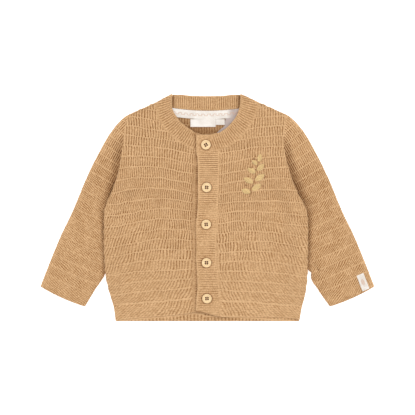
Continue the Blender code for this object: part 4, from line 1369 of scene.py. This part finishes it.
def joined_shapes(name, shapes, material):
    """One mesh of several raised shapes, each a pair of grids with the counts of its stitches."""
    points, faces, counts = [], [], []
    total = 0
    for top, base, stitches in shapes:
        rows, columns = top.shape[:2]
        number = np.arange(rows * columns).reshape(rows, columns)
        cells = cell_corners(rows, columns, 1, False)
        loop = edge_loop(rows, columns)
        upper = [[(r, c, 0) for r, c in cell] for cell in cells]
        lower = [[(r, c, 1) for r, c in reversed(cell)] for cell in cells]
        rim = [[(*a, 0), (*a, 1), (*b, 1), (*b, 0)] for a, b in zip(loop, loop[1:])]
        for cell in upper + lower + rim:
            faces.append([total + side * number.size + int(number[r, c]) for r, c, side in cell])
            counts += [stitches[r, c] for r, c, _ in cell]
        points += [top.reshape(-1, 3), base.reshape(-1, 3)]
        total += 2 * number.size
    mesh = bpy.data.meshes.new(name)
    mesh.from_pydata(np.concatenate(points) * MM, [], faces)
    layer = mesh.uv_layers.new(name="knit")
    layer.data.foreach_set("uv", np.array(counts, np.float32).ravel())
    bm = bmesh.new()
    bm.from_mesh(mesh)
    bmesh.ops.remove_doubles(bm, verts=bm.verts, dist=1e-6)
    bmesh.ops.recalc_face_normals(bm, faces=bm.faces)
    bm.to_mesh(mesh)
    bm.free()
    mesh.shade_smooth()
    obj = add_object(name, mesh)
    obj.data.materials.append(material)
    set_in_model(obj)


def leaf_shape(leaf):
    along, across = np.linspace(0, 1, 22)[:, None], np.linspace(-1, 1, 11)[None, :]
    half = leaf.width / 2 * np.sin(math.pi * np.clip(along, 0.015, 0.985)) ** 0.75
    turn = math.radians(leaf.turn)
    forward, side = leaf.length * along + 0 * across, half * across
    bend = 0.1 * leaf.length * along**2
    x = leaf.x + forward * math.cos(turn) - (side + bend) * math.sin(turn)
    y = leaf.y + forward * math.sin(turn) + (side + bend) * math.cos(turn)
    height = 0.65 * np.sqrt(np.clip(1 - across**2, 0, 1)) * np.sin(math.pi * along) ** 0.4
    height = height - 0.25 * np.exp(-((across / 0.14) ** 2)) * np.sin(math.pi * along)
    top, base = raised_shape(together(x, y), height, 0.25)
    return top, base, together((forward - 0.9 * np.abs(side)) / 0.55, across + 0 * along)


def berry_shape(x, y, radius=1.35):
    turn, out = np.linspace(0, 2 * math.pi, 17)[:, None], np.linspace(0.02, 1, 6)[None, :]
    places = together(x + radius * out * np.cos(turn), y + radius * out * np.sin(turn))
    top, base = raised_shape(places, 0.7 * np.sqrt(np.clip(1 - out**2, 0, 1)) + 0 * turn, 0.25)
    return top, base, together(places[..., 0] / 0.5, out + 0 * turn)


def stem_shape(width=1.1):
    along = np.linspace(0, 1, 60)
    centre = along_points(SPRIG_STEM)(along)
    ahead = np.gradient(centre, axis=0)
    ahead /= np.linalg.norm(ahead, axis=1)[:, None]
    across = np.linspace(-1, 1, 7)
    sideways = together(-ahead[:, 1], ahead[:, 0])[:, None]
    places = centre[:, None, :] + (width / 2 * across)[None, :, None] * sideways
    top, base = raised_shape(places, 0.5 * np.sqrt(1 - across**2)[None, :] + 0 * along[:, None], 0.25)
    count = path_lengths(centre)[:, None] / 0.8 + 0.5 * across[None, :]
    return top, base, together(count, across[None, :] + 0 * count)


def make_sprig(leaf_material, berry_material):
    joined_shapes("sprig_leaves", [leaf_shape(leaf) for leaf in LEAVES], leaf_material)
    joined_shapes("sprig_stem", [stem_shape()], berry_material)
    joined_shapes("sprig_berries", [berry_shape(*place) for place in BERRIES], berry_material)


# Finishes


class Wire:
    """An output of a node, on which sums are written as in Python."""

    def __init__(self, finish, socket):
        self.finish, self.socket = finish, socket

    def math(self, operation, *others, swap=False):
        values = (*others, self) if swap else (self, *others)
        return self.finish.node("ShaderNodeMath", {"operation": operation}, dict(enumerate(values)))

    def __add__(self, other):
        return self.math("ADD", other)

    __radd__ = __add__

    def __sub__(self, other):
        return self.math("SUBTRACT", other)

    def __rsub__(self, other):
        return self.math("SUBTRACT", other, swap=True)

    def __mul__(self, other):
        return self.math("MULTIPLY", other)

    __rmul__ = __mul__


class Finish:
    """A material's nodes, made one at a time and joined as they are made."""

    def __init__(self, name):
        self.material = bpy.data.materials.new(name)
        self.material.use_nodes = True
        self.tree = self.material.node_tree
        self.surface = self.tree.nodes["Principled BSDF"]

    def join(self, socket, value):
        if isinstance(value, Wire):
            self.tree.links.new(value.socket, socket)
        else:
            socket.default_value = value

    def finished(self, inputs):
        """The material, once these inputs of its surface are set or joined."""
        for name, value in inputs.items():
            self.join(self.surface.inputs[name], value)
        return self.material

    def node(self, kind, settings=None, inputs=None, output=0):
        node = self.tree.nodes.new(kind)
        for name, value in (settings or {}).items():
            setattr(node, name, value)
        for name, value in (inputs or {}).items():
            self.join(node.inputs[name], value)
        return Wire(self, node.outputs[output])

    def mix(self, share, first, second, blend="MIX"):
        """From the first colour to the second, or to the two blended, by a share from 0 to 1."""
        settings = {"data_type": "RGBA", "blend_type": blend}
        return self.node("ShaderNodeMix", settings, {0: share, 6: first, 7: second}, 2)

    def between(self, value, low, high):
        """0 where a value is at low, 1 where it is at high, and smooth between them."""
        inputs = {"Value": value, "From Min": low, "From Max": high}
        return self.node("ShaderNodeMapRange", {"interpolation_type": "SMOOTHSTEP"}, inputs, "Result")

    def noise(self, place, scale, detail=2.0, roughness=0.5):
        inputs = {"Vector": place, "Scale": scale, "Detail": detail, "Roughness": roughness}
        return self.node("ShaderNodeTexNoise", None, inputs, 0)

    def place(self):
        return self.node("ShaderNodeTexCoord", output="Object")

    def layer(self, name):
        return self.node("ShaderNodeAttribute", {"attribute_name": name}, output="Fac")

    def counts(self):
        """The two counts of the piece's own map."""
        spread = self.node("ShaderNodeSeparateXYZ", None, {0: self.node("ShaderNodeUVMap", {"uv_map": "knit"})})
        return spread, Wire(self, spread.socket.node.outputs["Y"])

    def bump(self, height, distance, strength=1.0):
        return self.node("ShaderNodeBump", None, {"Height": height, "Distance": distance, "Strength": strength})


def colour(red, green, blue):
    """A colour in the scene's own scale, from one in display values up to 255."""
    parts = [part / 255 for part in (red, green, blue)]
    return (*(part / 12.92 if part <= 0.04045 else ((part + 0.055) / 1.055) ** 2.4 for part in parts), 1.0)


def knit_finish(knit):
    """Heathered yarn in rib knit: slots between the ribs, raised lines across them, and fine stitches. The
    slots and the gaps between the stitches are painted in shade, the rib crests, the raised lines and the rims
    are painted lighter as highlights, and the shade layer multiplies in painted shade."""
    finish = Finish("camel_rib_knit")
    place = finish.place()
    ribs, ridges = finish.counts()
    depth, rim, shade, course, fine, raised, lean = (
        finish.layer(name) for name in ("depth", "rim", "shade", "course", "fine", "raised", "lean")
    )
    wobble = finish.noise(place, 260.0, 1.0) - 0.5
    aside = (ridges.math("FLOOR") * RIB_TURN).math("SINE") * RIB_STEP
    ribs = ribs - lean * (ridges.math("FRACT") - 0.5) + aside
    wave = ((ribs + wobble * 0.3) * (2 * math.pi)).math("COSINE")
    slots = finish.between(wave, 0.2, -0.9)
    phase = (ridges + wobble * 0.05 + 0.5).math("FRACT") - 0.5
    away = phase.math("ABSOLUTE") * RIDGE_STEP
    line = finish.between(away, 1.0, 0.1)
    # Painted shade: the slots are darker just beside each raised line.
    beside = finish.between(away, 3.6, 1.2) * (1 - line)
    patch = finish.noise(place, 380.0, 2.0)
    strength = depth * (0.7 + beside * 0.3) * (0.6 + patch * 0.8)
    clear = finish.between(away, 0.4, 1.15)
    dark = slots * strength * clear
    rows = finish.between(((course + wobble * 0.5) * (2 * math.pi)).math("COSINE"), 0.5, -0.9)
    dark = dark + rows * fine * (1 - (1 - clear) * raised) * (0.25 + patch * 0.9)
    stitch_counts = (ribs * 2, course * 1.4, ridges)
    cell = {number: count.math("FLOOR") for number, count in enumerate(stitch_counts)}
    spot = finish.node("ShaderNodeCombineXYZ", None, cell)
    speckle = finish.node("ShaderNodeTexWhiteNoise", {"noise_dimensions": "3D"}, {"Vector": spot}, "Value")
    heather = finish.noise(place, 800.0, 3.0, 0.7)
    cloudy = finish.noise(place, 45.0, 2.0)
    # Painted highlight on the rib crests, and painted shade between the courses of stitches.
    crest = wave * depth * 0.08 - rows * fine * 0.08
    lit = finish.between(heather * 0.8 + speckle * 0.35 + cloudy * 0.2 + crest, 0.45, 0.95)
    base = finish.mix(lit, knit.yarn, knit.light_yarn_and_highlight)
    # Painted shade: the slots between the ribs and the gaps between the courses are darkened towards the slots'
    # shade colour.
    base = finish.mix(finish.between(dark, 0.0, 1.15), base, knit.slot_shade)
    # Painted highlight: the raised lines and the rims are made lighter.
    light = (line * raised * (0.15 + patch * 0.55) + rim * 0.35).math("MINIMUM", 0.8)
    base = finish.mix(light, base, knit.light_yarn_and_highlight)
    base = finish.mix(shade, base, knit.deep, "MULTIPLY")
    stitch = ((course + (ribs + 0.5).math("FRACT").math("PINGPONG", 0.5) * 1.2) * (2 * math.pi)).math("SINE")
    height = stitch * 0.4 + heather * 0.9 + speckle * 0.3 - dark * 0.5
    return finish.finished({
        "Base Color": base,
        "Normal": finish.bump(height, 0.35 * MM, 0.8),
        "Roughness": 0.95,
        "Specular IOR Level": 0.15,
        "Sheen Weight": 0.05,
        "Sheen Roughness": 0.6,
    })


def wood_finish(buttons):
    """Pale wood with fine straight grain, with painted shade down its sides and in the dish round the holes."""
    finish = Finish("pale_turned_wood")
    place = finish.place()
    dish_and_side_shade = finish.layer("dish_and_side_shade")
    stretched = finish.node("ShaderNodeMapping", None, {"Vector": place, "Scale": (1.0, 9.0, 1.0)})
    grain = finish.noise(stretched, 160.0, 3.0, 0.6)
    fine = finish.noise(stretched, 700.0, 2.0)
    lines = finish.between(grain * 0.7 + fine * 0.3, 0.35, 0.7)
    base = finish.mix(lines, buttons.wood, buttons.grain)
    base = finish.mix(dish_and_side_shade, base, buttons.dish_and_side_shade)
    return finish.finished({
        "Base Color": base,
        "Roughness": 0.42 + fine * 0.2,
        "Normal": finish.bump(grain, 0.1 * MM, 0.5),
        "Coat Weight": 0.15,
    })


def satin_finish(name, light, shadow):
    """Embroidery thread laid side by side, which shines a little along each stitch."""
    finish = Finish(name)
    place = finish.place()
    stitches, _ = finish.counts()
    lie = (stitches * (2 * math.pi)).math("SINE")
    fibre = finish.noise(place, 1500.0, 2.0)
    base = finish.mix(finish.between(lie * 0.3 + fibre, 0.25, 0.85), shadow, light)
    return finish.finished({
        "Base Color": base,
        "Normal": finish.bump(lie + fibre * 0.4, 0.2 * MM, 0.8),
        "Roughness": 0.55,
        "Sheen Weight": 0.3,
    })


def thread_finish(buttons):
    finish = Finish("brown_sewing_thread")
    place = finish.place()
    twist = finish.node("ShaderNodeTexWave", {"wave_type": "BANDS"}, {"Vector": place, "Scale": 900.0}, "Fac")
    base = finish.mix(twist * 0.25, buttons.thread, buttons.hole)
    # Painted shade deep in the holes.
    base = finish.mix(finish.layer("deep"), base, buttons.hole)
    return finish.finished({
        "Base Color": base,
        "Normal": finish.bump(twist, 0.2 * MM, 0.8),
        "Roughness": 0.85,
    })


def woven_finish(tape):
    """White woven tape: a fine diagonal weave, turning greyer where the tape turns out of the light."""
    finish = Finish("white_woven_tape")
    place = finish.place()
    across, along = finish.counts()
    weave = ((across * 1.6 + along * 1.6) * (2 * math.pi)).math("SINE")
    over = ((across * 1.6 - along * 1.6) * (2 * math.pi)).math("SINE")
    soft = finish.noise(place, 90.0, 2.0)
    base = finish.mix(finish.between(soft + weave * 0.06, 0.35, 0.75), tape.shadow, tape.light)
    base = finish.mix(finish.layer("grey") * (0.75 + soft * 0.4), base, tape.grey)
    base = finish.mix(finish.layer("motif") * 0.75, base, tape.motif)
    return finish.finished({
        "Base Color": base,
        "Normal": finish.bump(weave * over, 0.15 * MM, 0.5),
        "Roughness": 0.8,
        "Sheen Weight": 0.2,
    })


# Stage


def make_stage(stage):
    clear_selection()
    bpy.ops.mesh.primitive_grid_add(x_subdivisions=8, y_subdivisions=8, size=6.0, location=(0, 0, -0.0006))
    floor = bpy.context.object
    floor.name = "pale_floor"
    apply_transforms()
    finish = Finish("pale_paper")
    place = finish.place()
    grain = finish.noise(place, 40.0, 2.0)
    white = (1.0, 1.0, 1.0, 1.0)
    paper = finish.finished({
        "Base Color": finish.mix(grain, stage.floor, white),
        "Roughness": 0.9,
        "Emission Color": white,
        "Emission Strength": stage.glow,
    })
    floor.data.materials.append(paper)
    floor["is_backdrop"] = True
    world = bpy.data.worlds.new("soft_studio")
    world.use_nodes = True
    sky = world.node_tree.nodes["Background"]
    sky.inputs["Color"].default_value = (1.0, 0.99, 0.98, 1.0)
    sky.inputs["Strength"].default_value = stage.sky
    bpy.context.scene.world = world
    for name, place, size, power in (
        ("window", (1.0, 0.4, 2.0), 1.8, stage.lamp * 0.7),
        ("bounce", (-1.0, 0.4, 2.0), 2.0, stage.lamp * 0.6),
    ):
        lamp = bpy.data.lights.new(name, "AREA")
        lamp.shape, lamp.size, lamp.energy = "SQUARE", size, power
        obj = add_object(name, lamp)
        obj.location = place
        obj.rotation_euler = (-Vector(place)).to_track_quat("-Z", "Y").to_euler()
    camera = bpy.data.cameras.new("above")
    camera.sensor_width = 36.0
    camera.lens = 36.0 * (stage.camera_height - 0.005) / stage.view_width
    camera.clip_end = 20.0
    eye = add_object("above", camera)
    eye.location = (0.0001, -0.0001, stage.camera_height)
    bpy.context.scene.camera = eye
    bpy.context.scene.view_settings.view_transform = "Standard"


# What a user can change


def number_property(name, description, default, **more):
    return bpy.props.FloatProperty(name=name, description=description, default=default, **more)


def length_property(name, description, default):
    return number_property(name, description, default, unit="LENGTH", precision=5)


def colour_property(name, description, default):
    return bpy.props.FloatVectorProperty(
        name=name, description=description, default=default, size=4, subtype="COLOR", min=0.0, max=1.0
    )


class CardiganKnit(bpy.types.PropertyGroup):
    rib_depth: number_property("Rib depth", "Depth of the slots between ribs, in millimetres", 0.55, min=0.0)
    ridge_height: number_property("Ridge height", "Height of the raised lines, in millimetres", 0.4, min=0.0)
    yarn: colour_property("Yarn", "The yarn's main colour", colour(188, 148, 105))
    # Besides the lightest fibres, this colour is the painted highlight on the raised lines, the rims and the
    # rib crests.
    light_yarn_and_highlight: colour_property("Light yarn", "The lightest fibres and the raised lines", colour(219, 180, 136))
    # Painted shade: the colour that the slots between the ribs and the gaps between stitches are darkened
    # towards.
    slot_shade: colour_property("Dark yarn", "The bottom of the slots", colour(132, 85, 38))
    deep: colour_property("Deep shade", "The light left in the deepest places", (0.36, 0.25, 0.14, 1.0))


class CardiganButtons(bpy.types.PropertyGroup):
    radius: length_property("Radius", "Radius of a button", 6.35 * MM)
    wood: colour_property("Wood", "The wood's main colour", colour(234, 207, 161))
    grain: colour_property("Grain", "The darker lines of the grain", colour(216, 182, 132))
    # The colour of the painted shade on the button's sides and in its dish.
    dish_and_side_shade: colour_property("Hollow", "The dish round the holes and the sides", colour(190, 140, 92))
    thread: colour_property("Thread", "The strands between the holes", colour(196, 146, 112))
    # The colour of the painted shade deep in the button holes.
    hole: colour_property("Hole", "The thread deep in the holes", colour(58, 34, 20))


class CardiganTape(bpy.types.PropertyGroup):
    light: colour_property("Tape", "The tape and labels in the light", colour(238, 233, 226))
    shadow: colour_property("Tape shade", "The tape's darker threads", colour(222, 214, 205))
    grey: colour_property("Turned tape", "Tape turned out of the light", colour(176, 160, 154))
    motif: colour_property("Motif", "The small woven motif", colour(196, 150, 118))


class CardiganSprig(bpy.types.PropertyGroup):
    leaf: colour_property("Leaves", "The thread of the leaves", colour(250, 216, 156))
    leaf_shade: colour_property("Leaf shade", "Between the threads of the leaves", colour(228, 188, 118))
    berry: colour_property("Berries", "The thread of the stem and berries", colour(184, 132, 74))
    berry_shade: colour_property("Berry shade", "Between the threads of the berries", colour(158, 108, 56))


class CardiganStage(bpy.types.PropertyGroup):
    floor: colour_property("Floor", "The floor's colour", (0.96, 0.96, 0.96, 1.0))
    glow: number_property("Glow", "Light of the floor's own, which fills the shadows", 0.6)
    sky: number_property("Sky", "Strength of the light from all round", 0.73)
    lamp: number_property("Lamp", "Power of the main lamp", 31.0, min=0.0, unit="POWER")
    camera_height: length_property("Camera height", "Height of the camera above the table", 2.5)
    view_width: length_property("View width", "Width that the camera sees at the cloth", 0.5395)


finishes = {}


def finish_for(name, make, *values):
    """A finish that several pieces share, made the first time it is asked for."""
    if name not in finishes:
        finishes[name] = make(*values)
    return finishes[name]


def knit_and_cloth(context):
    """The settings of the knit, and the finish made from them."""
    knit = context.scene.cardigan_knit
    return knit, finish_for("knit", knit_finish, knit)


class CARDIGAN_OT_back(bpy.types.Operator):
    """Add the back, which lies on the table"""

    bl_idname = "cardigan.back"
    bl_label = "Back"

    def execute(self, context):
        make_back(*knit_and_cloth(context))
        return {"FINISHED"}


class CARDIGAN_OT_sprig(bpy.types.Operator):
    """Add the embroidered sprig of the left front"""

    bl_idname = "cardigan.sprig"
    bl_label = "Sprig"

    def execute(self, context):
        sprig = context.scene.cardigan_sprig
        leaf = satin_finish("yellow_satin_stitch", sprig.leaf, sprig.leaf_shade)
        berry = satin_finish("brown_satin_stitch", sprig.berry, sprig.berry_shade)
        make_sprig(leaf, berry)
        return {"FINISHED"}


class CARDIGAN_OT_fronts(bpy.types.Operator):
    """Add the two fronts, which lie on the back; the left one carries the sprig"""

    bl_idname = "cardigan.fronts"
    bl_label = "Fronts"

    def execute(self, context):
        knit, cloth = knit_and_cloth(context)
        sprig = [obj for obj in bpy.data.objects if obj.name.startswith("sprig_")]
        make_front("right", knit, cloth)
        make_front("left", knit, cloth)
        return {"FINISHED"}


class CARDIGAN_OT_sleeves(bpy.types.Operator):
    """Add the two sleeves, each a flattened tube"""

    bl_idname = "cardigan.sleeves"
    bl_label = "Sleeves"

    def execute(self, context):
        for side in SIGN:
            make_sleeve(side, *knit_and_cloth(context))
        return {"FINISHED"}


class CARDIGAN_OT_neckband(bpy.types.Operator):
    """Add the ribbed neckband"""

    bl_idname = "cardigan.neckband"
    bl_label = "Neckband"

    def execute(self, context):
        make_neckband(*knit_and_cloth(context))
        return {"FINISHED"}


class CARDIGAN_OT_bands(bpy.types.Operator):
    """Add the button band and the buttonhole band over it"""

    bl_idname = "cardigan.bands"
    bl_label = "Front bands"

    def execute(self, context):
        make_bands(*knit_and_cloth(context))
        return {"FINISHED"}


class CARDIGAN_OT_buttons(bpy.types.Operator):
    """Add the five wooden buttons"""

    bl_idname = "cardigan.buttons"
    bl_label = "Buttons"

    def execute(self, context):
        buttons = context.scene.cardigan_buttons
        make_buttons(buttons, finish_for("wood", wood_finish, buttons))
        return {"FINISHED"}


class CARDIGAN_OT_threads(bpy.types.Operator):
    """Add the thread that holds each button"""

    bl_idname = "cardigan.threads"
    bl_label = "Button threads"

    def execute(self, context):
        make_threads(finish_for("thread", thread_finish, context.scene.cardigan_buttons))
        return {"FINISHED"}


class CARDIGAN_OT_tapes(bpy.types.Operator):
    """Add the neck tape and the plain labels under it"""

    bl_idname = "cardigan.tapes"
    bl_label = "Neck tape and labels"

    def execute(self, context):
        make_tapes(finish_for("woven", woven_finish, context.scene.cardigan_tape))
        return {"FINISHED"}


class CARDIGAN_OT_cuff_label(bpy.types.Operator):
    """Add the woven label on the left cuff"""

    bl_idname = "cardigan.cuff_label"
    bl_label = "Cuff label"

    def execute(self, context):
        make_cuff_label(finish_for("woven", woven_finish, context.scene.cardigan_tape))
        return {"FINISHED"}


class CARDIGAN_OT_stage(bpy.types.Operator):
    """Add the floor, the soft light and the camera above"""

    bl_idname = "cardigan.stage"
    bl_label = "Stage"

    def execute(self, context):
        make_stage(context.scene.cardigan_stage)
        return {"FINISHED"}


STEPS = (
    CARDIGAN_OT_back,
    CARDIGAN_OT_sprig,
    CARDIGAN_OT_fronts,
    CARDIGAN_OT_sleeves,
    CARDIGAN_OT_neckband,
    CARDIGAN_OT_bands,
    CARDIGAN_OT_buttons,
    CARDIGAN_OT_threads,
    CARDIGAN_OT_tapes,
    CARDIGAN_OT_cuff_label,
    CARDIGAN_OT_stage,
)


class CARDIGAN_PT_panel(bpy.types.Panel):
    """The pieces of the cardigan, in the order they are made"""

    bl_idname = "CARDIGAN_PT_panel"
    bl_label = "Cardigan"
    bl_space_type = "VIEW_3D"
    bl_region_type = "UI"
    bl_category = "Cardigan"

    def draw(self, context):
        for step in STEPS:
            self.layout.operator(step.bl_idname)


GROUPS = {
    "cardigan_knit": CardiganKnit,
    "cardigan_buttons": CardiganButtons,
    "cardigan_tape": CardiganTape,
    "cardigan_sprig": CardiganSprig,
    "cardigan_stage": CardiganStage,
}


def register():
    for name, group in GROUPS.items():
        bpy.utils.register_class(group)
        setattr(bpy.types.Scene, name, bpy.props.PointerProperty(type=group))
    for step in (*STEPS, CARDIGAN_PT_panel):
        bpy.utils.register_class(step)


def unregister():
    for step in reversed((*STEPS, CARDIGAN_PT_panel)):
        bpy.utils.unregister_class(step)
    for name, group in GROUPS.items():
        delattr(bpy.types.Scene, name)
        bpy.utils.unregister_class(group)


def plain(corners):
    return [[float(part) for part in corner] for corner in corners]


def main():
    register()
    for step in STEPS:
        group, name = step.bl_idname.split(".")
        if getattr(getattr(bpy.ops, group), name)() != {"FINISHED"}:
            raise RuntimeError(f"{step.bl_label} was not made")
    {"cad": plain(cad_box), "visual": plain(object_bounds())}


if __name__ == "__main__":
    main()
